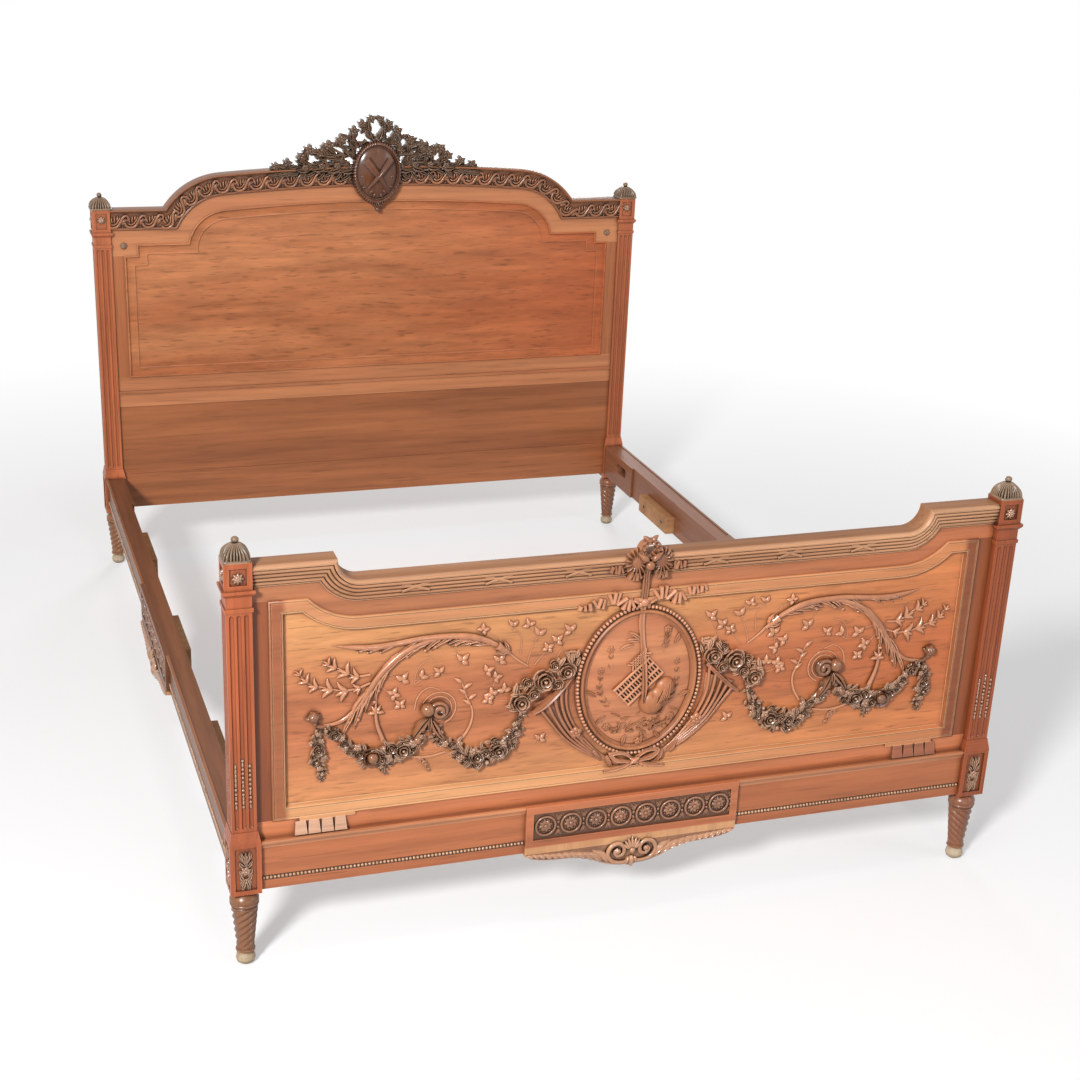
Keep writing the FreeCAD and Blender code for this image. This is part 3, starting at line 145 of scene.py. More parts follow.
def wear_group():
    """Masks of hollows that hold old dark polish and painted shade, of rubbed edges and of rounded ridges,
    which are worn paler and also painted highlight.
    """
    tree, given, result = shader_group("Wear And Painted Light", [("Reach", FLOAT, 0.012), ("Edge", FLOAT, 0.0015)],
                                       [("Hollow Polish And Shade", FLOAT), ("Rubbed Edge Highlight", FLOAT), ("Ridge Wear Highlight", FLOAT)])
    link = tree.links.new
    # ambient occlusion darkens hollows: old dark polish there, and painted shade
    ao = node(tree, "ShaderNodeAmbientOcclusion", samples=8)
    dark = node(tree, "ShaderNodeMapRange", {"From Min": 0.95, "From Max": 0.3})
    # rounded edges found by the bevel: rubbed wear, and painted highlight
    bevel = node(tree, "ShaderNodeBevel", samples=4)
    geo = node(tree, "ShaderNodeNewGeometry")
    dot = node(tree, "ShaderNodeVectorMath", operation="DOT_PRODUCT")
    edge = node(tree, "ShaderNodeMapRange", {"From Min": 0.99, "From Max": 0.86})
    # pointiness picks out convex forms: rubbed high spots, and painted highlight
    ridge_wear_highlight = node(tree, "ShaderNodeMapRange", {"From Min": 0.505, "From Max": 0.57})
    link(given.outputs["Reach"], ao.inputs["Distance"])
    link(ao.outputs["AO"], dark.inputs["Value"])
    link(dark.outputs["Result"], result.inputs["Hollow Polish And Shade"])
    link(given.outputs["Edge"], bevel.inputs["Radius"])
    link(bevel.outputs["Normal"], dot.inputs[0])
    link(geo.outputs["Normal"], dot.inputs[1])
    link(dot.outputs["Value"], edge.inputs["Value"])
    link(edge.outputs["Result"], result.inputs["Rubbed Edge Highlight"])
    link(geo.outputs["Pointiness"], ridge_wear_highlight.inputs["Value"])
    link(ridge_wear_highlight.outputs["Result"], result.inputs["Ridge Wear Highlight"])
    return tree


GRAIN, WEAR_AND_LIGHT = grain_group(), wear_group()
STRETCH = {"X": (0.05, 1.0, 1.0), "Y": (1.0, 0.05, 1.0), "Z": (1.0, 1.0, 0.05), "XY": (0.12, 1.0, 1.0)}


def mix(tree, first, second, factor, blend="MIX"):
    """Colour output of a mix of two colours or sockets."""
    blended = node(tree, "ShaderNodeMix", data_type="RGBA", blend_type=blend)
    for value, socket in ((factor, blended.inputs[0]), (first, blended.inputs[6]),
                          (second, blended.inputs[7])):
        if hasattr(value, "is_output"):
            tree.links.new(value, socket)
        else:
            socket.default_value = value
    return blended.outputs[2]


def rgb(r, g, b):
    """Linear colour from the sRGB values that the eye reads."""
    def linear(value):
        value /= 255.0
        return value / 12.92 if value <= 0.04045 else ((value + 0.055) / 1.055) ** 2.4
    return (linear(r), linear(g), linear(b), 1.0)


def look(name):
    """New material, named after its look."""
    mat = bpy.data.materials.new("look_" + name)
    mat.use_nodes = True
    return mat


def wood(name, light, dark, pore_polish_shade, axis, polish_and_shade=0.7, edge_wear_highlight=0.25, rough=0.36, painted_light_band=None, reach=0.012,
         fine=1.0, coat=0.0, streak=0.3, ridge_wear_highlight=0.0, painted_light_drift=(), shine=0.45):
    """Polished wood: two tones along the grain, dark old polish and painted shade in hollows, paler rubbed
    edges and rounded ridges that also carry painted highlight.

    painted_light_band is a paler band about a height, painted light: the height, where it starts and ends to
    either side, and its colour.
    painted_light_drift holds changes of tone along X, painted light and shade: where each starts and ends,
    its share at most, and its colour.
    """
    mat = look(name)
    tree = mat.node_tree
    link = tree.links.new
    bsdf = tree.nodes["Principled BSDF"]
    coord = node(tree, "ShaderNodeTexCoord")
    mapping = node(tree, "ShaderNodeMapping", {"Scale": STRETCH[axis]})
    link(coord.outputs["Object"], mapping.inputs["Vector"])
    grain = node(tree, "ShaderNodeGroup", node_tree=GRAIN)
    link(mapping.outputs["Vector"], grain.inputs["Vector"])
    wear_light = node(tree, "ShaderNodeGroup", node_tree=WEAR_AND_LIGHT)
    wear_light.inputs["Reach"].default_value = reach
    figure = node(tree, "ShaderNodeMapRange", {"From Min": 0.34, "From Max": 0.68})
    link(grain.outputs["Figure"], figure.inputs["Value"])
    base = mix(tree, rgb(*light), rgb(*dark), figure.outputs["Result"])
    parts = node(tree, "ShaderNodeSeparateXYZ")
    link(coord.outputs["Object"], parts.inputs[0])
    # paler band away from a height: painted light
    if painted_light_band:
        height, inner, outer, pale = painted_light_band
        off = node(tree, "ShaderNodeMath", {1: height}, operation="SUBTRACT")
        away = node(tree, "ShaderNodeMath", operation="ABSOLUTE")
        wavy = node(tree, "ShaderNodeMath", {1: 0.12, 2: 0.0}, operation="MULTIPLY_ADD")
        stripe = node(tree, "ShaderNodeMapRange", {"From Min": inner, "From Max": outer})
        link(parts.outputs["Z"], off.inputs[0])
        link(off.outputs[0], away.inputs[0])
        link(grain.outputs["Figure"], wavy.inputs[0])
        link(away.outputs[0], wavy.inputs[2])
        link(wavy.outputs[0], stripe.inputs["Value"])
        base = mix(tree, base, rgb(*pale), stripe.outputs["Result"])
    # tone that changes along X: painted shade towards the right, painted light on the right rail
    for x0, x1, most, colour in painted_light_drift:
        side = node(tree, "ShaderNodeMapRange", {"From Min": x0, "From Max": x1, "To Max": most})
        link(parts.outputs["X"], side.inputs["Value"])
        base = mix(tree, base, rgb(*colour), side.outputs["Result"])
    tones = {"From Min": 0.3, "From Max": 0.72, "To Min": 1 - 0.22 * fine, "To Max": 1 + 0.15 * fine}
    fibre = node(tree, "ShaderNodeMapRange", tones)
    link(grain.outputs["Fibre"], fibre.inputs["Value"])
    base = mix(tree, base, fibre.outputs["Result"], 1.0, "MULTIPLY")
    lines = node(tree, "ShaderNodeMath", {1: streak}, operation="MULTIPLY")
    link(grain.outputs["Streak"], lines.inputs[0])
    base = mix(tree, base, rgb(*[part * 0.74 for part in dark]), lines.outputs[0])
    pores = node(tree, "ShaderNodeMath", {1: 0.3 * fine}, operation="MULTIPLY")
    link(grain.outputs["Pores"], pores.inputs[0])
    base = mix(tree, base, rgb(*pore_polish_shade), pores.outputs[0])
    # paler on rubbed edges and convex ridges: worn wood, and painted highlight
    rubbed_highlight = node(tree, "ShaderNodeMath", {1: edge_wear_highlight}, operation="MULTIPLY")
    link(wear_light.outputs["Rubbed Edge Highlight"], rubbed_highlight.inputs[0])
    high = node(tree, "ShaderNodeMath", {1: ridge_wear_highlight}, operation="MULTIPLY")
    link(wear_light.outputs["Ridge Wear Highlight"], high.inputs[0])
    both = node(tree, "ShaderNodeMath", operation="MAXIMUM")
    link(rubbed_highlight.outputs[0], both.inputs[0])
    link(high.outputs[0], both.inputs[1])
    base = mix(tree, base, rgb(*[min(255, part * 1.05 + 55) for part in light]), both.outputs[0])
    # darker in hollows: old polish, and painted shade
    deep = node(tree, "ShaderNodeMath", {1: polish_and_shade}, operation="MULTIPLY")
    link(wear_light.outputs["Hollow Polish And Shade"], deep.inputs[0])
    base = mix(tree, base, rgb(*pore_polish_shade), deep.outputs[0])
    link(base, bsdf.inputs["Base Color"])
    bump = node(tree, "ShaderNodeBump", {"Strength": 0.12, "Distance": 0.0006})
    link(grain.outputs["Fibre"], bump.inputs["Height"])
    link(bump.outputs["Normal"], bsdf.inputs["Normal"])
    bsdf.inputs["Roughness"].default_value = rough
    bsdf.inputs["Specular IOR Level"].default_value = shine
    bsdf.inputs["Coat Weight"].default_value = coat
    bsdf.inputs["Coat Roughness"].default_value = 0.16
    return mat


def plain(name, colour, rough, metal):
    """Material of one even colour."""
    mat = look(name)
    bsdf = mat.node_tree.nodes["Principled BSDF"]
    bsdf.inputs["Base Color"].default_value = rgb(*colour)
    bsdf.inputs["Roughness"].default_value = rough
    bsdf.inputs["Metallic"].default_value = metal
    return mat


# dark tones of pores, and of hollows where they stand for old polish and painted shade
PORE_POLISH_SHADE = (52, 28, 16)
DEEP_PORE_POLISH_SHADE = (22, 14, 10)
# darker and redder towards the right: painted shade
WALNUT_X = wood("walnut_x", (198, 130, 88), (168, 104, 68), PORE_POLISH_SHADE, "X",
                painted_light_drift=[(0.0, 0.7, 0.6, (186, 102, 62))])
# paler upper band of the rail's face: painted light
LOW_RAIL = wood("low_rail", (180, 107, 68), (150, 83, 52), PORE_POLISH_SHADE, "X",
                painted_light_band=(0.18, 0.12, 0.14, (196, 119, 78)))
# lighter on the right rail: painted light
WALNUT_Y = wood("walnut_y", (134, 86, 59), (106, 66, 45), PORE_POLISH_SHADE, "Y", shine=0.25,
                painted_light_drift=[(-0.3, 0.3, 0.8, (160, 104, 74))])
WALNUT_Z = wood("walnut_z", (196, 110, 68), (160, 86, 52), PORE_POLISH_SHADE, "Z", polish_and_shade=0.85)
# darker on the right post: painted shade
POST = wood("post", (196, 106, 62), (162, 82, 46), PORE_POLISH_SHADE, "Z", polish_and_shade=0.85,
            painted_light_drift=[(-0.6, 0.7, 0.9, (150, 74, 40))])
STILE = wood("stile", (150, 82, 46), (122, 64, 36), PORE_POLISH_SHADE, "Z", streak=0.4)
LEDGE = wood("ledge", (198, 132, 92), (170, 106, 70), PORE_POLISH_SHADE, "X", polish_and_shade=0.35)
LEDGE_Y = wood("ledge_rail", (172, 114, 80), (142, 90, 61), PORE_POLISH_SHADE, "Y", polish_and_shade=0.35, shine=0.25)
CORNICE = wood("cornice", (204, 152, 114), (172, 120, 86), (50, 27, 18), "X", polish_and_shade=1.0,
               edge_wear_highlight=0.5, shine=0.3)
# darker, duller copy of the cornice wood for its top face: painted shade
CORNICE_TOP_SHADED = wood("cornice_top", (172, 122, 88), (144, 98, 68), PORE_POLISH_SHADE, "X", polish_and_shade=0.4,
                   shine=0.12)
# darker and redder towards the right: painted shade
GUTTA = wood("gutta", (200, 154, 124), (172, 126, 98), PORE_POLISH_SHADE, "X", edge_wear_highlight=0.4,
             painted_light_drift=[(-0.2, 0.5, 0.9, (150, 84, 56))])
# darker towards the right legs: painted shade
LEG = wood("leg", (162, 110, 76), (132, 86, 57), (40, 23, 15), "Z", polish_and_shade=1.0, edge_wear_highlight=0.45,
           rough=0.3, reach=0.008, painted_light_drift=[(-0.6, 0.7, 0.7, (140, 84, 58))])
# darker and redder towards the right: painted shade
HEAD_FIELD = wood("head_field", (202, 130, 84), (176, 104, 64), PORE_POLISH_SHADE, "XY", polish_and_shade=0.5,
                  streak=0.26, fine=1.3, painted_light_drift=[(0.0, 0.7, 0.9, (182, 90, 46))])
# darker copy of the headboard wood for its lower panel and bottom rail: painted shade
HEAD_LOW_SHADED = wood("head_low", (172, 105, 65), (144, 84, 51), PORE_POLISH_SHADE, "X", polish_and_shade=0.5, streak=0.35)
# paler towards the top and bottom: painted light; redder and darker towards the right: painted shade
FOOT_FIELD = wood("foot_field", (190, 117, 77), (166, 97, 61), (44, 24, 14), "XY", polish_and_shade=0.8,
                  reach=0.009, streak=0.14, fine=1.15, painted_light_band=(0.47, 0.10, 0.25, (214, 150, 97)),
                  painted_light_drift=[(0.0, 0.7, 0.6, (202, 107, 55))])
# wide reach of the hollow mask darkens the field towards its frame: painted shade
MEDAL_FIELD = wood("medal_field", (210, 138, 92), (186, 113, 73), (124, 62, 34), "X", polish_and_shade=0.75,
                   rough=0.28, coat=0.3, reach=0.05)
MEDAL_CARVING = wood("medal_carving", (186, 120, 78), (154, 92, 58), (44, 24, 14), "Z",
                     polish_and_shade=1.0, edge_wear_highlight=0.4, rough=0.4)
# lighter top and bottom runs against darker upright sides, darkest at the right: painted light and shade
BORDER = wood("border", (216, 155, 107), (196, 132, 89), PORE_POLISH_SHADE, "X", polish_and_shade=0.7, edge_wear_highlight=0.6,
              fine=0.7, streak=0.2, painted_light_drift=[(0.0, 0.64, 0.75, (198, 120, 74)),
                                           (-0.64, -0.65, 0.95, (152, 86, 54)),
                                           (0.64, 0.65, 0.95, (130, 68, 38))])
PALE = wood("pale", (216, 162, 116), (194, 138, 96), PORE_POLISH_SHADE, "Z", polish_and_shade=0.55, fine=0.4,
            streak=0.25)
STRIP = wood("strip", (206, 137, 92), (182, 113, 74), PORE_POLISH_SHADE, "X", polish_and_shade=0.55, fine=0.7)
STRIP_Z = wood("strip_upright", (184, 112, 70), (158, 90, 54), PORE_POLISH_SHADE, "Z", polish_and_shade=0.55,
               fine=0.7)
# carved woods: edge_wear_highlight and ridge_wear_highlight paint highlights on edges and convex forms over
# rubbed wear; polish_and_shade darkens hollows with old polish and painted shade
CARVED_LIGHT = wood("carved_light", (182, 115, 75), (146, 88, 56), (32, 19, 12), "Z",
                    polish_and_shade=0.85, edge_wear_highlight=0.6, rough=0.26, reach=0.008, coat=0.4, ridge_wear_highlight=0.4)
HORN = wood("horn", (178, 112, 73), (146, 88, 56), (60, 33, 20), "Z", polish_and_shade=0.6, edge_wear_highlight=0.2,
            rough=0.28, reach=0.008, coat=0.3, ridge_wear_highlight=0.2)
CARVED = wood("carved", (150, 105, 75), (106, 71, 49), DEEP_PORE_POLISH_SHADE, "Z", polish_and_shade=0.95, edge_wear_highlight=0.7,
              rough=0.24, reach=0.009, coat=0.45, ridge_wear_highlight=0.5)
BLOSSOM = wood("blossom", (182, 128, 94), (138, 93, 65), DEEP_PORE_POLISH_SHADE, "Z", polish_and_shade=0.9, edge_wear_highlight=0.6,
               rough=0.24, reach=0.009, coat=0.45, ridge_wear_highlight=0.4)
CARVED_DARK = wood("carved_dark", (98, 66, 40), (66, 42, 25), DEEP_PORE_POLISH_SHADE, "Z", polish_and_shade=1.0,
                   edge_wear_highlight=0.5, rough=0.24, reach=0.010, coat=0.2, ridge_wear_highlight=0.2)
SHIELD = wood("shield", (116, 69, 43), (84, 47, 29), DEEP_PORE_POLISH_SHADE, "Z", polish_and_shade=1.0, edge_wear_highlight=0.4,
              rough=0.22, reach=0.012, coat=0.2, ridge_wear_highlight=0.1)
WAVES = wood("waves", (162, 102, 64), (120, 70, 44), DEEP_PORE_POLISH_SHADE, "Z", polish_and_shade=1.0, edge_wear_highlight=0.5,
             rough=0.26, reach=0.010, coat=0.15, ridge_wear_highlight=0.15)
# pale bead wood that stands in for the beads' highlights: painted highlight
BEADING_HIGHLIT = wood("beading", (206, 160, 122), (180, 132, 96), (36, 20, 12), "Z", polish_and_shade=1.0,
               edge_wear_highlight=0.3, rough=0.24, reach=0.005, coat=0.3)
KNOB = wood("knob", (160, 104, 68), (122, 77, 50), DEEP_PORE_POLISH_SHADE, "Z", polish_and_shade=0.9, edge_wear_highlight=0.2,
            rough=0.2, coat=0.4)
CREST_BAND = wood("crest_band", (158, 96, 58), (121, 72, 43), DEEP_PORE_POLISH_SHADE, "X", polish_and_shade=1.0,
                  edge_wear_highlight=0.5)
CAP = wood("cap", (152, 122, 96), (120, 96, 75), (24, 19, 15), "Z", polish_and_shade=1.0, edge_wear_highlight=0.6,
           rough=0.32, reach=0.008)
# dark sheet for places in shade, behind the bead rows and the trellis: painted shade
DARK_SHADE_SHEET = wood("ground", (70, 42, 28), (54, 32, 22), DEEP_PORE_POLISH_SHADE, "X", polish_and_shade=0.6, rough=0.5)
TABLET = wood("tablet", (190, 114, 75), (160, 89, 57), PORE_POLISH_SHADE, "X", polish_and_shade=0.8, edge_wear_highlight=0.5)
TABLET_CARVING = wood("tablet_carving", (158, 104, 72), (118, 76, 51), DEEP_PORE_POLISH_SHADE, "Z",
                      polish_and_shade=1.0, edge_wear_highlight=0.3, rough=0.28, reach=0.009, coat=0.3, ridge_wear_highlight=0.15)
APRON_CARVING = wood("apron_carving", (176, 122, 85), (134, 88, 59), (34, 20, 13), "Z",
                     polish_and_shade=1.0, edge_wear_highlight=0.5, rough=0.26, reach=0.009, coat=0.4, ridge_wear_highlight=0.35)
TABLET_GROUND = wood("tablet_ground", (112, 74, 53), (86, 56, 40), DEEP_PORE_POLISH_SHADE, "X", polish_and_shade=0.6,
                     rough=0.4)
CLEAT = wood("cleat", (206, 158, 112), (176, 126, 84), PORE_POLISH_SHADE, "X", polish_and_shade=0.3, rough=0.6)
CREAM = wood("feet", (206, 186, 158), (176, 152, 122), (96, 74, 52), "Z", polish_and_shade=0.6, rough=0.6)
IRON = plain("iron", (58, 52, 48), 0.5, 0.8)


# Mesh building in ornament space: u to the right, v up, h towards the viewer, in millimetres

class Build:
    """Points and faces of a piece in the making."""

    def __init__(self):
        self.verts = []
        self.faces = []

    def grid(self, rows, close_rows=False, close_cols=False, capped=False):
        """Skin over rows of points, closed on request along its rows, along its columns and at its ends."""
        base, n, m = len(self.verts), len(rows), len(rows[0])
        for row in rows:
            self.verts.extend(tuple(p) for p in row)
        for i in range(n if close_rows else n - 1):
            for j in range(m if close_cols else m - 1):
                here, next_row = base + i * m, base + (i + 1) % n * m
                beside = (j + 1) % m
                self.faces.append((here + j, here + beside, next_row + beside, next_row + j))
        if capped:
            self.faces.append(tuple(base + j for j in reversed(range(m))))
            self.faces.append(tuple(base + (n - 1) * m + j for j in range(m)))

    def add_placed(self, other, at):
        """Another build, already carried into bed space."""
        base = len(self.verts)
        self.verts.extend(at(*p) for p in other.verts)
        self.faces.extend(tuple(base + k for k in f) for f in other.faces)

    def mirrored(self):
        """The mirror image about u = 0."""
        b = Build()
        b.verts = [(-u, v, h) for u, v, h in self.verts]
        b.faces = [f[::-1] for f in self.faces]
        return b

    def back_up(self, depth, share):
        """A second, flatter skin behind the first, joined to it along every open edge."""
        n = len(self.verts)
        edges = {(p, q): True for f in self.faces for p, q in zip(f, f[1:] + f[:1])}
        rim = [(p, q) for p, q in edges
               if (q, p) not in edges and math.dist(self.verts[p], self.verts[q]) > 0.01]
        self.faces += [tuple(k + n for k in f[::-1]) for f in self.faces]
        self.faces += [(q, p, p + n, q + n) for p, q in rim]
        self.verts += [(u, v, -depth - h * share) for u, v, h in self.verts]

    def mesh(self, name, at, recalc):
        """Mesh in metres, carried into bed space."""
        shape = bpy.data.meshes.new(name)
        shape.from_pydata([tuple(c * 0.001 for c in at(*p)) for p in self.verts], [], self.faces)
        if recalc:
            bm = bmesh.new()
            bm.from_mesh(shape)
            bmesh.ops.recalc_face_normals(bm, faces=bm.faces)
            bm.to_mesh(shape)
            bm.free()
        return shape

    def piece(self, name, material, at, stands_for=(), sharp=35, recalc=False):
        """The build as a finished piece of the bed."""
        return settle(self.mesh(name, at, recalc), name, material, stands_for, sharp)


def settle(shape, name, material, stands_for=(), sharp=35):
    """A finished mesh becomes a piece of the bed."""
    bm = bmesh.new()
    bm.from_mesh(shape)
    bmesh.ops.remove_doubles(bm, verts=bm.verts, dist=2e-6)
    bm.to_mesh(shape)
    bm.free()
    shape.materials.clear()
    shape.materials.append(material)
    shape.shade_smooth()
    shape.set_sharp_from_angle(angle=math.radians(sharp))
    obj = bpy.data.objects.new(name, shape)
    bpy.context.scene.collection.objects.link(obj)
    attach(obj, "bed")
    if stands_for:
        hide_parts(*stands_for)
    return obj


def on_foot(depth):
    """Footboard's face, a depth behind the front of its posts."""
    return lambda u, v, h: (u, FOOT + depth - h, v)


def on_head(depth):
    """Headboard's face, a depth behind the front of its posts."""
    return lambda u, v, h: (u, HEAD + depth - h, v)


def on_rail(side):
    """Outer face of a side rail."""
    return lambda u, v, h: (side * (RAIL_X + h), side * u, v)


def in_bed(u, v, h):
    """Bed space itself, for builds whose points are already there."""
    return (u, v, h)


def shifted(at, u0, v0):
    """A surface's place function with its middle moved."""
    return lambda u, v, h: at(u0 + u, v0 + v, h)


def raised(p):
    """Point of ornament space, at height 0 where none is given."""
    return Vector((p[0], p[1], p[2] if len(p) > 2 else 0.0))


def aim(side, angle):
    """Angle of a form on the right half, or its mirror image on the left."""
    return angle if side > 0 else math.pi - angle


def share(values, t):
    """Value at a share of an evenly spaced list."""
    k = t * (len(values) - 1)
    j = min(int(k), len(values) - 2)
    return values[j] + (values[j + 1] - values[j]) * (k - j)


def along(path, t):
    """Point and direction at a share of a path."""
    k = t * (len(path) - 1)
    i = min(int(k), len(path) - 2)
    p = path[i].lerp(path[i + 1], k - i)
    d = path[i + 1] - path[i]
    return p, math.atan2(d.y, d.x)


def smooth(points, per=6):
    """Points along a smooth curve through the given ones."""
    pts = [raised(p) for p in points]
    pts = [2 * pts[0] - pts[1]] + pts + [2 * pts[-1] - pts[-2]]
    out = []
    for i in range(1, len(pts) - 2):
        a, b, c, d = pts[i - 1:i + 3]
        for k in range(per):
            t = k / per
            out.append(0.5 * (2 * b + (c - a) * t + (2 * a - 5 * b + 4 * c - d) * t * t
                              + (3 * b - a - 3 * c + d) * t ** 3))
    return out + [pts[-2]]


def tube(b, path, radii, sides=8, squash=1.0, ribs=0, rib=0.0):
    """Round or ribbed rod along a path that lies roughly in the u, v plane."""
    path = [raised(p) for p in path]
    last = len(path) - 1
    rows = []
    for i, p in enumerate(path):
        r = share(radii, i / last)
        heading = (path[min(i + 1, last)] - path[max(i - 1, 0)]).normalized()
        side = Vector((-heading.y, heading.x, 0.0))
        side = side.normalized() if side.length > 1e-6 else Vector((1, 0, 0))
        up = heading.cross(side)
        if up.z < 0:
            up = -up
        row = []
        for k in range(sides):
            a = 2 * math.pi * k / sides
            reach = r * (1 + rib * math.cos(ribs * a))
            row.append(p + side * (math.cos(a) * reach) + up * (math.sin(a) * reach * squash))
        rows.append(row)
    b.grid(rows, close_cols=True, capped=True)


def stem(b, points, r0, r1, lift=0.5, sides=6):
    """Round stalk that lies on its ground, raised by a share of its radius."""
    path = []
    for i, p in enumerate(points):
        u, v, h = raised(p)
        r = r0 + (r1 - r0) * i / max(1, len(points) - 1)
        path.append((u, v, h + r * lift))
    tube(b, smooth(path), [r0, r1], sides)


def leaf(b, u, v, angle, length, width, rise=5.0, lobes=4, bend=0.0, notch=0.4, base=0.0, tip=0.0):
    """Carved leaf: lobed edge, two rounded halves and a groove along the middle."""
    n = lobes * 4
    cols = ((-1.0, 0.0), (-0.62, 0.85), (-0.2, 0.8), (0.0, 0.45), (0.2, 0.8), (0.62, 0.85), (1.0, 0.0))
    x, y, a = u, v, angle
    rows = []
    for i in range(n + 1):
        t = i / n
        saw = (t * lobes) % 1.0 if i < n else 1.0
        half = width / 2 * math.sin(math.pi * min(1.0, 0.1 + 0.9 * t ** 0.75)) ** 0.8
        half *= 1 - notch * (1 - saw) ** 1.5 * (1 if 0 < i < n else 0)
        top = rise * (0.45 + 0.55 * math.sin(math.pi * (0.15 + 0.75 * t))) + base + tip * t * t
        nx, ny = -math.sin(a), math.cos(a)
        lag = 0.35 * half
        row = []
        for c, hgt in cols:
            back = lag * abs(c) * (1 if i < n else 0)
            row.append((x + nx * c * half + math.cos(a) * back, y + ny * c * half + math.sin(a) * back,
                        base + (top - base) * hgt))
        rows.append(row[::-1])
        a += bend / n
        x += math.cos(a) * length / n
        y += math.sin(a) * length / n
    b.grid(rows)


def ball(b, u, v, h, r, squash, sides, rings):
    """Ball, flattened or drawn out in height."""
    rows = []
    for i in range(rings + 1):
        e = -math.pi / 2 + math.pi * i / rings
        rows.append([(u + r * math.cos(e) * math.cos(2 * math.pi * k / sides),
                      v + r * math.cos(e) * math.sin(2 * math.pi * k / sides),
                      h + r * squash * math.sin(e)) for k in range(sides)])
    b.grid(rows, close_cols=True)


def drop(b, u, v, angle, length, width, rise, base=0.0, bend=0.0, tip=0.0):
    """Smooth rounded petal or small leaf, pointed at its tip."""
    n, m = 8, 6
    x, y, a = u, v, angle
    rows = []
    for i in range(n + 1):
        t = i / n
        swell = max(0.03, math.sin(math.pi * (0.06 + 0.94 * t ** 0.75))) ** 0.75
        nx, ny = -math.sin(a), math.cos(a)
        rows.append([(x + nx * math.cos(e) * width / 2 * swell, y + ny * math.cos(e) * width / 2 * swell,
                      base + tip * t * t + rise * math.sin(e) * swell ** 0.7)
                     for e in [math.pi * k / m for k in range(m + 1)]])
        a += bend / n
        x += math.cos(a) * length / n
        y += math.sin(a) * length / n
    b.grid(rows)


def rose(b, u, v, r, turn=0.0, base=0.0, tall=0.75):
    """Open rose: three rings of cupped petals with rolled lips round a bud."""
    for ring, (n, r0, r1, h0, h1) in enumerate(((5, 0.45, 1.0, 0.0, 0.45), (4, 0.3, 0.74, 0.15, 0.78),
                                                (3, 0.12, 0.46, 0.4, 1.0))):
        for k in range(n):
            a0 = turn + 2 * math.pi * (k + 0.5 * ring) / n + 0.3 * ring
            lean = 1 + 0.1 * math.sin(3.7 * k + 2.0 * ring + 5.0 * turn)
            rows = []
            for w, lift in ((0.0, 0.0), (0.5, 0.55), (0.86, 0.95), (0.97, 1.0), (1.0, 0.75), (0.92, 0.3)):
                row = []
                for s in (1.0, 0.6, 0.0, -0.6, -1.0):
                    a = a0 + s * 1.04 * math.pi / n
                    rad = r * (r0 + (r1 * lean - r0) * w) * (1 - 0.16 * s * s * w)
                    high = h0 + (h1 - h0) * lift - 0.2 * s * s * lift
                    row.append((u + rad * math.cos(a), v + rad * math.sin(a), base + r * tall * high))
                rows.append(row)
            b.grid(rows)
    ball(b, u, v, base + r * tall * 0.6, r * 0.2, 1.5, 8, 5)


def flower(b, u, v, r, petals=6, turn=0.0, base=0.0, rise=3.0, eye=0.28, full=0.8):
    """Flat flower of separate rounded petals with a round eye."""
    for k in range(petals):
        a = turn + 2 * math.pi * k / petals
        drop(b, u + math.cos(a) * r * 0.12, v + math.sin(a) * r * 0.12, a, r * 0.88,
             r * 2.0 * full * math.sin(math.pi / petals), rise, base)
    ball(b, u, v, base + rise * 0.7, r * eye, 0.9, 8, 5)


def shell(b, u, v, h, r, ribs=7, swirl=1.5, deep=0.12):
    """Ball with creases that wind round it."""
    rows = []
    for i in range(13):
        e = -math.pi / 2 + math.pi * i / 12
        row = []
        for k in range(42):
            a = 2 * math.pi * k / 42
            rr = r * (1 - deep * math.cos(e) * (0.5 + 0.5 * math.cos(ribs * (a + swirl * e))) ** 2)
            row.append((u + rr * math.cos(e) * math.cos(a), v + rr * math.cos(e) * math.sin(a),
                        h + r * math.sin(e)))
        rows.append(row)
    b.grid(rows, close_cols=True)


def sprig(b, u, v, angle, size=15.0, count=3):
    """Small round leaves on a thin stalk."""
    for k in range(count):
        off = (k - (count - 1) / 2) * 1.2
        drop(b, u, v, angle + off, size * (1.0 - 0.12 * abs(off)), size * 0.58, 5.0, 0.5, 0.3 * off)
    stem(b, [(u - math.cos(angle) * size * 0.7, v - math.sin(angle) * size * 0.7), (u, v)], 0.6, 0.8)


def frond(b, points, r0, r1, count, length, width, lean=0.55, rise=4.5):
    """Stem with leaflets along it that grow smaller towards the tip."""
    path = smooth(points, 8)
    stem(b, points, r0, r1, 0.8)
    n = len(path)
    for k in range(count):
        t = 0.12 + 0.88 * k / count
        i = min(int(t * (n - 1)), n - 2)
        d = path[i + 1] - path[i]
        a = math.atan2(d.y, d.x)
        size = length * (1 - 0.5 * t)
        for s in (-1, 1):
            leaf(b, path[i].x, path[i].y, a + s * lean, size, size * width, rise, 3, -0.9 * s * lean, 0.2,
                 path[i].z)


def loft(profile, line, closed_path=False):
    """Moulding: every profile point (offset, depth) runs along the line drawn at its offset."""
    b = Build()
    runs = [[(x, z, -depth) for x, z in line(offset)] for offset, depth in profile]
    b.grid(list(zip(*runs)), close_rows=closed_path, close_cols=True, capped=not closed_path)
    return b


# Lines that the mouldings follow, from left to right

def arc(cx, cz, r, a0, a1, n):
    """Points of an arc between two angles in degrees."""
    return [(cx + r * math.cos(math.radians(a0 + (a1 - a0) * i / n)),
             cz + r * math.sin(math.radians(a0 + (a1 - a0) * i / n))) for i in range(n + 1)]


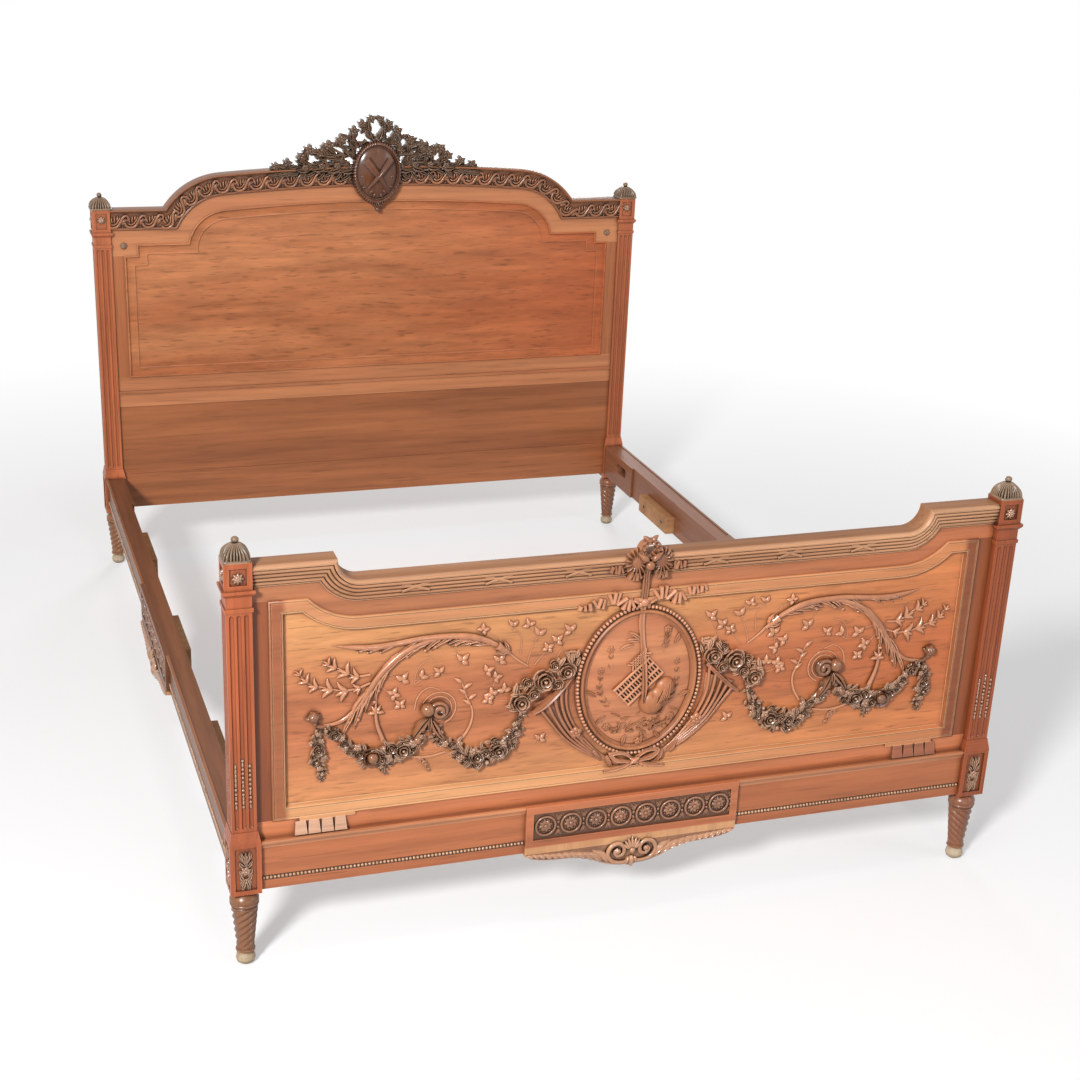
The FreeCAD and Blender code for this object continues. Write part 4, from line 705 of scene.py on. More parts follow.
def both_ways(left):
    """Left half of a line, followed by its mirror image."""
    return left + [(-x, z) for x, z in reversed(left)]


def ramp(end_z, low, radius, end_x, ramp_x=515.0):
    """Raised end, concave ramp and low middle."""
    start = 180 + math.degrees(math.asin((low + radius - end_z) / radius))
    curve = arc(-ramp_x, low + radius, radius, start, 270, 14)
    return both_ways([(-end_x, end_z)] + curve)


def cornice_line(t):
    """Top edge of the footboard, a distance below it."""
    return ramp(765.0 - t, 725.0 - t, 40.0 + t, FRAME_X)


def crest_line(t, end_x=FRAME_X):
    """Level end, rounded shoulder and wide arch of the crest, a distance inside its outer edge."""
    angle = math.radians(CREST_ANGLE)
    sx, sz = CREST_SHOULDER * math.sin(angle) - CREST_CORNER, CREST_END - CREST_SHOULDER * math.cos(angle)
    fall = sz - CREST_APEX
    big = (CREST_SHOULDER ** 2 - sx ** 2 - fall ** 2) / (2 * (fall + CREST_SHOULDER))
    cz = CREST_APEX - big
    join = math.degrees(math.atan2(sz - cz, sx))
    small = CREST_SHOULDER - t
    corner = 180 - math.degrees(math.asin((CREST_END - t - sz) / small))
    left = [(-end_x, CREST_END - t)] + arc(sx, sz, small, corner, join, 14)
    left += arc(0, cz, big - t, join, 90, 14)[1:]
    return left[:-1] + [(0.0, CREST_APEX - t)] + [(-x, z) for x, z in reversed(left[:-1])]


def border_line(g):
    """Outline of the footboard's panel, a distance inside its opening, as a ring."""
    x, top = 672.0 - g, 697.0 - g
    upper = ramp(top, top - 40.0, 120.0 + g, x)
    return upper + [(x, 283.0 + g), (-x, 283.0 + g)]


def head_ring(g):
    """Outline of the headboard's panel with its stepped corners, a distance inside its opening."""
    x, foot = 668.3 - g, 852.5 - g
    upper = crest_line(91.0 + g, x - 33.0)
    return ([(-x, 527.0 + g), (-x, foot), (upper[0][0], foot)] + upper
            + [(upper[-1][0], foot), (x, foot), (x, 527.0 + g)])


def round_profile(t0, t1, depth, swell, n=6):
    """Half-round of a reed between two offsets."""
    return [(t0 + (t1 - t0) * (1 - math.cos(math.pi * i / n)) / 2, depth - swell * math.sin(math.pi * i / n))
            for i in range(n + 1)]


# Pieces that repeat along a path: one geometry group used for beads, rings and waves

def place_along_group():
    """Group that sets a collection's pieces at even steps along a curve, each picked at random."""
    tree = bpy.data.node_groups.new("PlaceAlong", "GeometryNodeTree")
    sockets = {}
    for label, kind in (("Geometry", "NodeSocketGeometry"), ("Pieces", "NodeSocketCollection"),
                        ("Count", "NodeSocketInt"), ("Facing", VECTOR), ("Scale", FLOAT),
                        ("Seed", "NodeSocketInt"), ("Material", "NodeSocketMaterial")):
        sockets[label] = tree.interface.new_socket(label, in_out="INPUT", socket_type=kind)
    tree.interface.new_socket("Geometry", in_out="OUTPUT", socket_type="NodeSocketGeometry")
    link = tree.links.new
    given = tree.nodes.new("NodeGroupInput")
    result = tree.nodes.new("NodeGroupOutput")
    points = node(tree, "GeometryNodeCurveToPoints", mode="COUNT")
    pieces = node(tree, "GeometryNodeCollectionInfo", {"Separate Children": True, "Reset Children": True})
    pick = node(tree, "FunctionNodeRandomValue", data_type="INT")
    picked_from = {socket.name: socket for socket in pick.inputs if socket.enabled}
    picked_from["Min"].default_value = 0
    picked_from["Max"].default_value = 99
    face = node(tree, "FunctionNodeAlignRotationToVector", axis="Z", pivot_axis="AUTO")
    follow = node(tree, "FunctionNodeAlignRotationToVector", axis="X", pivot_axis="Z")
    place = node(tree, "GeometryNodeInstanceOnPoints", {"Pick Instance": True})
    real = node(tree, "GeometryNodeRealizeInstances")
    paint = node(tree, "GeometryNodeSetMaterial")
    link(given.outputs["Geometry"], points.inputs["Curve"])
    link(given.outputs["Count"], points.inputs["Count"])
    link(given.outputs["Pieces"], pieces.inputs["Collection"])
    link(given.outputs["Seed"], picked_from["Seed"])
    link(given.outputs["Facing"], face.inputs["Vector"])
    link(face.outputs["Rotation"], follow.inputs["Rotation"])
    link(points.outputs["Tangent"], follow.inputs["Vector"])
    link(points.outputs["Points"], place.inputs["Points"])
    link(pieces.outputs[0], place.inputs["Instance"])
    link(next(socket for socket in pick.outputs if socket.enabled), place.inputs["Instance Index"])
    link(follow.outputs["Rotation"], place.inputs["Rotation"])
    link(given.outputs["Scale"], place.inputs["Scale"])
    link(place.outputs["Instances"], real.inputs["Geometry"])
    link(real.outputs["Geometry"], paint.inputs["Geometry"])
    link(given.outputs["Material"], paint.inputs["Material"])
    link(paint.outputs["Geometry"], result.inputs["Geometry"])
    return tree, sockets


PLACE, PLACE_SOCKETS = place_along_group()
FIRST_SEED = 4


def unit_set(name, builds):
    """Hidden pieces that a path repeats, modelled along +X and rising in +Z."""
    units = bpy.data.collections.new(name)
    bpy.context.scene.collection.children.link(units)
    for k, b in enumerate(builds):
        shape = b.mesh(name + str(k), in_bed, False)
        shape.shade_smooth()
        shape.set_sharp_from_angle(angle=math.radians(50))
        units.objects.link(bpy.data.objects.new(name + str(k), shape))
    return units


def repeat(name, units, paths, spacing, facing, material, stands_for=(), scale=1.0, cyclic=False):
    """Units placed at even steps along paths given in bed space, as one finished piece."""
    whole = bmesh.new()
    for k, path in enumerate(paths):
        curve = bpy.data.curves.new(name, "CURVE")
        curve.dimensions = "3D"
        line = curve.splines.new("POLY")
        line.points.add(len(path) - 1)
        for point, spot in zip(line.points, path):
            point.co = (spot[0] * 0.001, spot[1] * 0.001, spot[2] * 0.001, 1.0)
        line.use_cyclic_u = cyclic
        spots = [Vector(spot) for spot in path] + ([Vector(path[0])] if cyclic else [])
        run = sum((after - before).length for before, after in zip(spots, spots[1:]))
        guide = bpy.data.objects.new(name + "_path", curve)
        bpy.context.scene.collection.objects.link(guide)
        modifier = guide.modifiers.new("PlaceAlong", "NODES")
        modifier.node_group = PLACE
        count = max(2, round(run / spacing) + (0 if cyclic else 1))
        values = {"Pieces": units, "Count": count, "Facing": facing, "Scale": scale, "Seed": FIRST_SEED + k,
                  "Material": material}
        for label, value in values.items():
            modifier[PLACE_SOCKETS[label].identifier] = value
        bpy.context.view_layer.update()
        graph = bpy.context.evaluated_depsgraph_get()
        whole.from_mesh(bpy.data.meshes.new_from_object(guide.evaluated_get(graph), depsgraph=graph))
        bpy.data.objects.remove(guide)
    shape = bpy.data.meshes.new(name)
    whole.to_mesh(shape)
    whole.free()
    return settle(shape, name, material, stands_for, sharp=50)


def line_on(at, points):
    """Points of ornament space carried into bed space, at height 0 where none is given."""
    return [at(*(tuple(p) + (0.0,) * (3 - len(p)))) for p in points]


# Looks of the solids that show as they are

SOLID_LOOKS = (
    (POST, ["foot_post_left", "foot_post_right"]),
    (WALNUT_Z, ["head_post_left", "head_post_right"]),
    (STILE, ["foot_stile_left", "foot_stile_right"]),
    (LOW_RAIL, ["foot_bottom_rail"]),
    (WALNUT_X, ["foot_top_rail", "head_middle_moulding"]),
    (TABLET, ["foot_tablet"]),
    (WALNUT_Y, ["side_rail_left", "side_rail_right", "rail_tablet_left", "rail_tablet_right",
                "rail_end_blocks"]),
    (HEAD_FIELD, ["head_panel"]),
    (HEAD_LOW_SHADED, ["head_lower_panel", "head_bottom_rail"]),
    (FOOT_FIELD, ["foot_panel"]),
    (STRIP, ["head_top_rail", "head_middle_rail"]),
    (STRIP_Z, ["head_stile_left", "head_stile_right"]),
    (PALE, ["foot_apron", "rail_apron_left", "rail_apron_right"]),
    (GUTTA, ["foot_guttae"]),
    (CLEAT, ["rail_cleats"]),
    (CREAM, ["ball_feet"]),
    (IRON, ["cleat_screws", "post_nut_plates", "bed_screw_foot_left", "bed_screw_foot_right",
            "bed_screw_head_left", "bed_screw_head_right"]),
)
for material, names in SOLID_LOOKS:
    for name in names:
        nodes[name].data.materials.clear()
        nodes[name].data.materials.append(material)


# Mouldings of the footboard

top_board = [(0.0, 49.0), (0.5, 13.0), (1.0, 12.2), (1.0, 49.0)]
loft(top_board, cornice_line).piece("cornice_board", CORNICE_TOP_SHADED, on_foot(0), recalc=True)
cornice = [(1.0, 49.0), (1.0, 12.2), (2.0, 8.5), (5.0, 6.0), (8.0, 6.5)]
REED, REED_STEP = 7.3, 2.0
for k in range(4):
    cornice += round_profile(8.5 + REED * k, 8.5 + REED * (k + 1), 10.5 + REED_STEP * k, 3.6)
cornice += [(38.2, 18.0), (38.8, 16.8), (40.3, 16.8), (41.0, 19.0), (41.0, 49.0)]
loft(cornice, cornice_line).piece("cornice", CORNICE, on_foot(0), ["foot_cornice"], recalc=True)

border = [(0.0, 24.0), (0.0, 17.5), (1.0, 16.0), (2.5, 15.4), (4.0, 16.2), (4.6, 17.4), (5.4, 16.4),
          (20.5, 16.0), (21.2, 17.2), (22.2, 15.6), (23.6, 15.6), (25.0, 18.5), (26.2, 22.4), (27.5, 24.0)]
border_ring = loft(border, border_line, True)
for side in (-1, 1):
    u0, u1 = sorted((side * 525.0, side * 624.0))
    section = ((u0, -20.0), (u0, -16.0), (u1, -16.0), (u1, -20.0))
    border_ring.grid([[(u, v, h) for u, h in section] for v in (284.0, 278.0)], close_cols=True, capped=True)
border_ring.piece("panel_border", BORDER, on_foot(0), ["foot_panel_border"], recalc=True)

# Mouldings of the headboard

crest = [(0.0, 46.0), (0.0, 5.0), (1.0, 2.0), (4.0, 1.5), (6.0, 3.0), (7.0, 6.0), (9.0, 7.0), (10.0, 11.0),
         (46.0, 11.0), (47.5, 7.0), (50.5, 6.0), (53.0, 7.5), (54.0, 12.0), (54.0, 46.0)]
loft(crest, crest_line).piece("crest_rail", CREST_BAND, on_head(0), ["head_crest_rail"], recalc=True)

head_ogee = [(0.0, 16.0), (0.0, 10.0), (1.2, 8.6), (3.0, 8.4), (4.4, 9.8), (5.6, 13.6), (8.0, 14.6),
             (23.0, 14.6), (24.0, 13.2), (26.0, 13.0), (27.5, 14.2), (28.0, 16.0)]
loft(head_ogee, head_ring, True).piece("head_panel_ring", HEAD_FIELD, on_head(0), ["head_panel_moulding"],
                                       recalc=True)


# Turned legs with twisted flutes

def leg(cx, cy, hand):
    """Turned leg, with a rope twist between its ankle and its shoulder that winds to one hand."""
    around, low, high = 84, 33.0, 120.0
    outline = [(15.5, 25.0), (17.5, 26.5), (17.5, 29.5), (15.0, 31.0), (15.8, 34.0)]
    outline += [(15.8 + 8.7 * t, 34.0 + 85.0 * t) for t in [k / 64 for k in range(1, 65)]]
    outline += [(22.6, 120.5), (24.0, 122.0), (26.0, 123.5), (26.2, 126.0), (24.8, 127.5), (26.0, 130.0),
                (26.2, 133.0), (24.6, 138.0), (20.5, 143.0), (16.5, 146.5), (15.5, 149.0), (15.5, 153.0)]
    rows = []
    for r, z in outline:
        row = []
        for k in range(around):
            a = 2 * math.pi * k / around
            deep = 0.0
            if low < z < high:
                ease = min(1.0, (z - low) / 8.0, (high - z) / 6.0)
                turn = 3.0 * a - hand * math.pi * (z - 34.0) / 14.0
                deep = r * 0.15 * ease * (1 - abs(math.sin(turn)))
            row.append((cx + (r - deep) * math.cos(a), cy + (r - deep) * math.sin(a), z))
        rows.append(row)
    b = Build()
    b.grid(rows, close_cols=True, capped=True)
    return b


for end, y in (("foot", -POST_Y), ("head", POST_Y)):
    for side, word in SIDES:
        turned = leg(side * POST_X, y, -side)
        turned.piece(end + "_turned_leg_" + word, LEG, in_bed, [end + "_leg_" + word], recalc=True, sharp=50)


# Ribbed caps with a bud

def cap(cx, cy, z0, height, half):
    """Square dome with ribs that fan from a bud down to a scalloped edge."""
    around, top, ribs = 168, 29.5, 28
    dome = [(half, 0.0, 0), (half, 3.2, 0), (half * 0.96, 4.0, 0), (half * 0.9, 4.2, 0)]
    for t in [k / 14 for k in range(15)]:
        dome.append((half * (0.22 + 0.76 * (1 - t ** 2.3) ** 0.8), 4.4 + (top - 4.4) * t, 1))
    rows = []
    for i, (r, z, ribbed) in enumerate(dome):
        power = 8.0 if i < 4 else 7.0 - 4.5 * min(1.0, (i - 4) / 12)
        row = []
        for k in range(around):
            a = 2 * math.pi * k / around
            square = (abs(math.cos(a)) ** power + abs(math.sin(a)) ** power) ** (-1 / power)
            groove = ribbed * 0.14 * (0.5 - 0.5 * math.cos(ribs * a)) ** 2
            reach = r * square * (1 - groove)
            row.append((cx + reach * math.cos(a), cy + reach * math.sin(a), z0 + z))
        rows.append(row)
    b = Build()
    b.grid(rows, close_cols=True, capped=True)
    tall = height - top
    ball(b, cx, cy, z0 + top + tall * 0.46, 6.8, tall / 12.4, 16, 8)
    return b


for side, word in SIDES:
    foot_cap = cap(side * POST_X, -POST_Y, 773.5, 39.5, 23.6)
    foot_cap.piece("foot_cap_" + word, CAP, in_bed, ["foot_finial_" + word], sharp=60)
    head_cap = cap(side * POST_X, POST_Y, 973.5, 40.5, 27.4)
    head_cap.piece("head_cap_" + word, CAP, in_bed, ["head_finial_" + word], sharp=60)


# Carved work of the footboard, left half: each function adds its work to the build b

def made(*works):
    """New build with some carved work in it."""
    b = Build()
    for work in works:
        work(b)
    return b


def garland(b, points, widths, count, seed):
    """Rope of roses, leaves and berries that swells and thins along a path."""
    path = smooth(points, 8)
    rng = random.Random(seed)
    tube(b, [p + Vector((0, 0, 2.0)) for p in path], [w * 0.22 for w in widths], 8, 0.8)
    for k in range(count):
        t = (k + rng.random()) / count
        p, a = along(path, t)
        w = share(widths, t)
        off = rng.uniform(-0.42, 0.42)
        u, v = p.x - math.sin(a) * off * w, p.y + math.cos(a) * off * w
        high = w * 0.3 * (1 - 3.2 * off * off)
        kind = k % 6
        if kind == 0:
            rose(b, u, v, w * 0.3, rng.random() * 3, high, 0.9)
        elif kind == 3:
            flower(b, u, v, w * 0.28, 5, rng.random() * 3, high + 2.0, 3.0)
        elif kind == 5:
            ball(b, u, v, high + 2.0, w * 0.13, 1.0, 8, 5)
        else:
            out = a + math.copysign(rng.uniform(0.5, 1.3), off)
            leaf(b, u, v, out, w * rng.uniform(0.4, 0.55), w * 0.26, 4.0, 2, rng.uniform(-0.5, 0.5), 0.2,
                 high)


def spiral(b, u, v, r0, r1, a0, turns, thick0, thick1, lift=0.7, sides=8):
    """Tapering coil, round in section."""
    n = int(18 * abs(turns)) + 1
    path = []
    for i in range(n):
        t = i / (n - 1)
        r = r0 + (r1 - r0) * t
        a = a0 + 2 * math.pi * turns * t
        path.append(Vector((u + r * math.cos(a), v + r * math.sin(a),
                            (thick0 + (thick1 - thick0) * t) * lift)))
    tube(b, path, [thick0, thick1], sides)


def band(b, points, widths, base=2.0, fold=0.0, folds=0):
    """Flat ribbon along a path, with a rounded face and optional pleats across it."""
    path = smooth(points, 10)
    section = ((1.0, 0.0), (1.0, 0.8), (0.75, 1.0), (0.0, 0.86), (-0.75, 1.0), (-1.0, 0.8), (-1.0, 0.0))
    rows = []
    for i in range(len(path)):
        t = i / (len(path) - 1)
        p, a = along(path, t)
        w = share(widths, t) / 2
        up = base + fold * math.sin(2 * math.pi * folds * t) + p.z
        rows.append([(p.x - math.sin(a) * s * w, p.y + math.cos(a) * s * w, up * c) for s, c in section])
    b.grid(rows)


def bend_leaf(b, u, v, u1, v1, width, rise=5.0, bend=0.0, lobes=3, base=0.0):
    """Leaf from one point towards another."""
    leaf(b, u, v, math.atan2(v1 - v, u1 - u) - bend / 2,
         math.hypot(u1 - u, v1 - v) * (1 + bend * bend / 24), width, rise, lobes, bend, 0.3, base)


def leaflets(b, points, side, t0, t1, count, sizes, width, lean, curl, rise=6.0, seed=1):
    """Rounded leaflets that leave one side of a rib and sweep towards its tip."""
    path = smooth(points, 8)
    rng = random.Random(seed)
    for k in range(count):
        f = (k + 0.5) / count
        p, a = along(path, t0 + (t1 - t0) * f)
        size = share(sizes, f) * rng.uniform(0.85, 1.15)
        leaf(b, p.x, p.y, a + side * lean * rng.uniform(0.8, 1.2), size, size * width, rise, 2, side * curl,
             0.12, p.z * 0.3)


def acanthus(b):
    """Two leafy branches that part from one stalk, and two side sprigs of curled tongues."""
    upper = [(-262, 570, 3), (-286, 584, 4), (-312, 595, 5), (-345, 601, 5), (-400, 602, 4), (-450, 597, 3),
             (-490, 594, 3), (-525, 597, 2), (-567, 604, 0)]
    lower = [(-366, 601, 4), (-402, 595, 5), (-434, 582, 5), (-462, 561, 5), (-486, 535, 5), (-505, 505, 4),
             (-526, 478, 3), (-552, 459, 2), (-590, 453, 1)]
    tube(b, smooth(upper, 8), [4.0, 5.2, 6.0, 5.6, 5.2, 5.0, 6.0, 4.6, 0.6], 14, 0.8)
    tube(b, smooth(lower, 8), [3.0, 4.4, 5.0, 5.2, 5.0, 4.6, 4.2, 3.8, 3.2], 14, 0.8)
    leaflets(b, upper, 1, 0.04, 0.56, 7, [40, 48, 46, 36], 0.2, 0.24, 0.5, 6, 5)
    for u, v, u1, v1, w in ((-318, 597, -346, 584, 11), (-345, 602, -383, 584, 12),
                            (-370, 601, -401, 579, 12), (-394, 598, -433, 571, 13),
                            (-418, 591, -462, 555, 13), (-440, 580, -487, 529, 13),
                            (-455, 567, -483, 512, 13), (-470, 553, -490, 491, 13),
                            (-487, 530, -519, 461, 14), (-500, 513, -535, 458, 12),
                            (-452, 597, -480, 584, 8), (-472, 595, -502, 586, 8), (-492, 595, -520, 589, 7),
                            (-300, 592, -320, 584, 8)):
        bend_leaf(b, u, v, u1, v1, w, 7.5, 0.65, 3, 1)
        ball(b, u1, v1, 4.0, w * 0.24, 0.9, 10, 6)
    leaflets(b, lower, 1, 0.02, 0.78, 8, [52, 66, 64, 50], 0.18, 0.14, 0.26, 7, 9)
    leaflets(b, lower, -1, 0.2, 0.6, 3, [30, 26], 0.22, 0.2, -0.3, 5, 12)
    for points in ([(-497, 543), (-523, 543), (-549, 558), (-568, 570)],
                   [(-497, 527), (-523, 519), (-549, 519), (-576, 527), (-602, 536), (-620, 556)]):
        stem(b, points, 2.2, 1.2, 0.8)
    for u, v, a, size in ((-516, 542, 3.0, 19), (-534, 548, 2.5, 21), (-556, 562, 2.6, 18),
                          (-568, 570, 2.4, 13), (-514, 522, 3.5, 16), (-536, 518, 3.3, 23),
                          (-562, 522, 2.9, 22), (-588, 530, 2.8, 18), (-606, 540, 2.3, 16),
                          (-619, 555, 2.1, 12)):
        for off in (-1, 1):
            drop(b, u, v, a + 0.25 * off, size * 1.2, size * 0.42, 6.5, 0.5, 1.2 * off)
        drop(b, u, v, a, size * 1.1, size * 0.4, 6.0, 0.5, 0.4)
    stem(b, [(-212, 528), (-236, 546), (-262, 572)], 1.6, 2.6)
    tube(b, smooth([(-246, 556, 3), (-256, 564, 4), (-270, 575, 5)]), [2.6, 6.0, 8.0], 10, 0.8)
    for off in (-1.0, 0.0, 1.0):
        leaf(b, -252, 562, 2.45 + off, 22, 10, 8.0, 3, -0.9 * off, 0.2, 2.0)


VOLUTE_U, VOLUTE_V = -374, 462


def scrollwork(b):
    """Thin tendrils round the volute and between the festoons."""
    for r, a0, a1 in ((23, 2.5, -1.6), (31, 2.7, -1.2)):
        turns = [a0 + (a1 - a0) * k / 10 for k in range(11)]
        stem(b, [(VOLUTE_U + r * math.cos(a), VOLUTE_V + 2 + r * math.sin(a)) for a in turns], 1.2, 1.8)
    stem(b, [(-333, 512), (-324, 482), (-312, 452), (-316, 424), (-330, 400)], 1.2, 2.6)
    for k in range(5):
        drop(b, -333 + 4.4 * k, 508 - 11 * k, 1.5 + 0.7 * (-1) ** k, 19, 8, 4.5, 0, 0.5 * (-1) ** k)
    stem(b, [(-446, 384), (-415, 374), (-388, 372), (-360, 377)], 2.6, 2.0)
    frond(b, [(-412, 374), (-398, 360), (-388, 340)], 1.2, 0.8, 4, 14, 0.45)
    stem(b, [(-418, 515), (-416, 535), (-405, 553), (-386, 560)], 1.0, 0.9)
    stem(b, [(-372, 500), (-390, 506), (-404, 500), (-414, 486), (-418, 466)], 1.0, 1.6)
    tube(b, smooth([(-486, 498, 2), (-488, 474, 4), (-485, 446, 4), (-474, 414, 4)]),
         [1.4, 2.6, 3.4, 4.4], 10)
    for off in (-0.9, -0.3, 0.3, 0.9):
        drop(b, -487, 470, math.pi / 2 + 1.5 * off, 16, 8, 6, 2, 0.6 * off)


def knobs(b):
    """Volute with a polished ball before it, the rose in the swag and the bud at the branch's end."""
    ball(b, VOLUTE_U, VOLUTE_V, 1, 17.0, 0.4, 28, 14)
    spiral(b, VOLUTE_U, VOLUTE_V, 16, 4, 2.6, -1.5, 3.6, 5.4, 2.0, 12)
    ball(b, -396, 467, 9, 12.5, 0.95, 24, 14)
    rose(b, -497, 389, 20, 0.3, 8, 0.8)
    ball(b, -496, 390, 18, 10.0, 0.9, 20, 12)
    ball(b, -414, 411, 10, 8, 0.9, 14, 9)
    for p, q, w in (((-394, 450), (-424, 412), 21), ((-388, 446), (-364, 402), 19),
                    ((-391, 452), (-392, 424), 13)):
        bend_leaf(b, *p, *q, w, 12, 0.4, 2, 4)
    shell(b, -597, 476, 6, 11.0, 5, 0.6, 0.2)
    for a in (0.4, 1.7, 2.8, -1.4):
        drop(b, -597, 470, a, 17, 10, 8, 1, 0.4)
    stem(b, [(-570, 453), (-590, 456), (-597, 468)], 4.0, 3.0)


def festoons(b):
    """Two swags of roses, the pendant at their end and two short tails."""
    garland(b, [(-216, 458), (-228, 414), (-242, 393), (-265, 374), (-288, 363), (-316, 367), (-344, 383),
                (-372, 411), (-389, 438)], [14, 22, 30, 38, 40, 36, 30, 26, 18], 84, 3)
    garland(b, [(-394, 442), (-412, 414), (-438, 398), (-468, 390), (-505, 394), (-534, 411), (-558, 434),
                (-578, 452)], [18, 28, 36, 40, 36, 28, 22, 14], 78, 8)
    garland(b, [(-590, 450), (-593, 425), (-590, 396), (-587, 368), (-585, 348)], [14, 25, 26, 18, 6], 42, 5)
    garland(b, [(-466, 388), (-472, 368), (-470, 348)], [26, 20, 6], 16, 15)
    garland(b, [(-282, 362), (-284, 350), (-283, 338)], [20, 16, 6], 8, 17)
    for u, v, r, t in ((-305, 365, 15, 0.2), (-266, 373, 18, 1.0), (-441, 397, 18, 0.6),
                       (-562, 438, 10, 0.3), (-590, 412, 11, 0.9)):
        rose(b, u, v, r, t, 9, 0.8)


def horn(b):
    """Open reeded horn that runs down under the medallion."""
    for k in range(5):
        f = k / 4
        points = []
        for u0, v0, u1, v1, base, swell in ((-188, 444, -139, 492, 3, 6), (-166, 414, -136, 440, 2, 5),
                                            (-138, 378, -116, 394, 2, 4), (-98, 345, -86, 356, 2, 0),
                                            (-66, 328, -62, 333, 1, 0), (-30, 311, -29, 312, 1, 0)):
            high = base + swell * math.sin(math.pi * f)
            points.append((u0 + (u1 - u0) * f, v0 + (v1 - v0) * f, high))
        stem(b, points, 3.0, 2.2, 0.7, 10)
    tube(b, smooth([(-164, 466), (-148, 426), (-124, 386), (-92, 350), (-64, 330), (-30, 311)], 8),
         [32, 18, 11, 7, 4, 3], 20, 0.21)
    band(b, [(-200, 436, 6), (-183, 448, 11), (-164, 466, 13), (-146, 484, 11), (-131, 499, 6)],
         [6, 8, 8, 8, 6], 3.0)
    for u, v, a in ((-112, 380, 2.5), (-74, 337, 2.2), (-50, 321, 2.0)):
        du, dv = 13 * math.cos(a), 13 * math.sin(a)
        band(b, [(u - du, v - dv, 5), (u, v, 9), (u + du, v + dv, 5)], [7, 8, 7])
    flower(b, -118, 389, 13, 5, 0.4, 8, 5)


def blossoms(b):
    """Roses that spill from the horn's mouth."""
    for u, v, r, t, h in ((-226, 463, 20, 0.1, 6), (-184, 502, 22, 0.9, 8), (-142, 514, 18, 0.3, 6),
                          (-203, 478, 12, 0.5, 12), (-160, 492, 12, 0.2, 12), (-213, 498, 11, 0.2, 4),
                          (-163, 526, 11, 0.7, 3)):
        rose(b, u, v, r, t, h, 0.85)
    rng = random.Random(11)
    for k in range(44):
        u = -242 + 122 * rng.random()
        v = 464 + (u + 226) * 0.55 + rng.uniform(-18, 24)
        leaf(b, u, v, rng.uniform(0.9, 3.6), rng.uniform(14, 24), 10, 5, 3, rng.uniform(-0.6, 0.6), 0.2,
             rng.uniform(1, 10))


def buds(b):
    """Small sprigs strewn over the field, with the stalks that carry them."""
    rng = random.Random(4)
    for u, v in ((-297, 606), (-242, 608), (-194, 586), (-160, 570), (-134, 588), (-334, 551), (-373, 533),
                 (-441, 525), (-457, 500), (-444, 478), (-265, 543), (-272, 512), (-276, 480), (-284, 469),
                 (-160, 440), (-288, 526), (-254, 484), (-408, 528), (-176, 558), (-184, 380), (-212, 606)):
        sprig(b, u, v, rng.uniform(0.2, 2.9), rng.uniform(15, 19), rng.choice((2, 3, 3, 4)))
    for points in ([(-297, 606), (-272, 590), (-258, 574)], [(-242, 608), (-226, 585), (-226, 552)],
                   [(-194, 586), (-206, 560), (-214, 530)], [(-160, 570), (-180, 552), (-200, 528)],
                   [(-134, 588), (-146, 562), (-162, 530)],
                   [(-265, 543), (-270, 512), (-278, 474), (-240, 462)],
                   [(-334, 551), (-347, 575), (-352, 594)], [(-373, 533), (-396, 528), (-418, 515)],
                   [(-441, 525), (-462, 537), (-482, 538)],
                   [(-444, 478), (-455, 490), (-462, 502), (-478, 518)]):
        stem(b, points, 0.6, 1.0)


HALF_WORKS = (
    ("carving_", made(acanthus, scrollwork, buds), CARVED_LIGHT, ["foot_carving_"]),
    ("festoons_", made(festoons), CARVED, []),
    ("knobs_", made(knobs), KNOB, []),
    ("horn_", made(horn), HORN, []),
    ("roses_", made(blossoms), BLOSSOM, []),
)
for side, word in SIDES:
    for name, work, material, solids in HALF_WORKS:
        half = work.mirrored() if side > 0 else work
        half.piece(name + word, material, on_foot(FIELD), [solid + word for solid in solids], sharp=50)


# Medallion: moulded oval frame with a bead ring, convex field and its trophy

def oval(half_u, half_v, n=96):
    """Points of an oval about the medallion's middle."""
    turns = [2 * math.pi * k / n for k in range(n)]
    return [(half_u * math.cos(a), MEDAL_Z + half_v * math.sin(a)) for a in turns]


medal = Build()
rim = ((4, 0), (4, 4.5), (-4.4, 5.0), (-5.0, 7.6), (-6.4, 9.8), (-8.4, 10.8), (-10.4, 10.4), (-12.2, 8.6),
       (-13.2, 6.4), (-15.4, 5.8), (-17.4, 6.4), (-18, 3))
medal.grid([[(u, v, h) for u, v in oval(MEDAL_U + t, MEDAL_V + t)] for t, h in rim], close_rows=True,
           close_cols=True)
medal.piece("medallion_frame", MEDAL_CARVING, on_foot(FIELD), ["foot_medallion_frame"], recalc=True)

field = Build()
field.grid([[(u, v, 12 - 8.5 * r ** 2.2) for u, v in oval(102 * r, 130 * r, 72)]
            for r in (1.0, 0.93, 0.85, 0.7, 0.5, 0.3, 0.1, 0.0)], close_cols=True)
field.piece("medallion_field", MEDAL_FIELD, on_foot(FIELD), ["foot_medallion_field"])


def on_trellis(u, v, h):
    """Spot of the medallion for a point of its tilted trellis."""
    c, s = 0.9 * math.cos(0.74), 0.9 * math.sin(0.74)
    return (u * c - v * s - 5, MEDAL_Z + 2 + u * s + v * c, h)


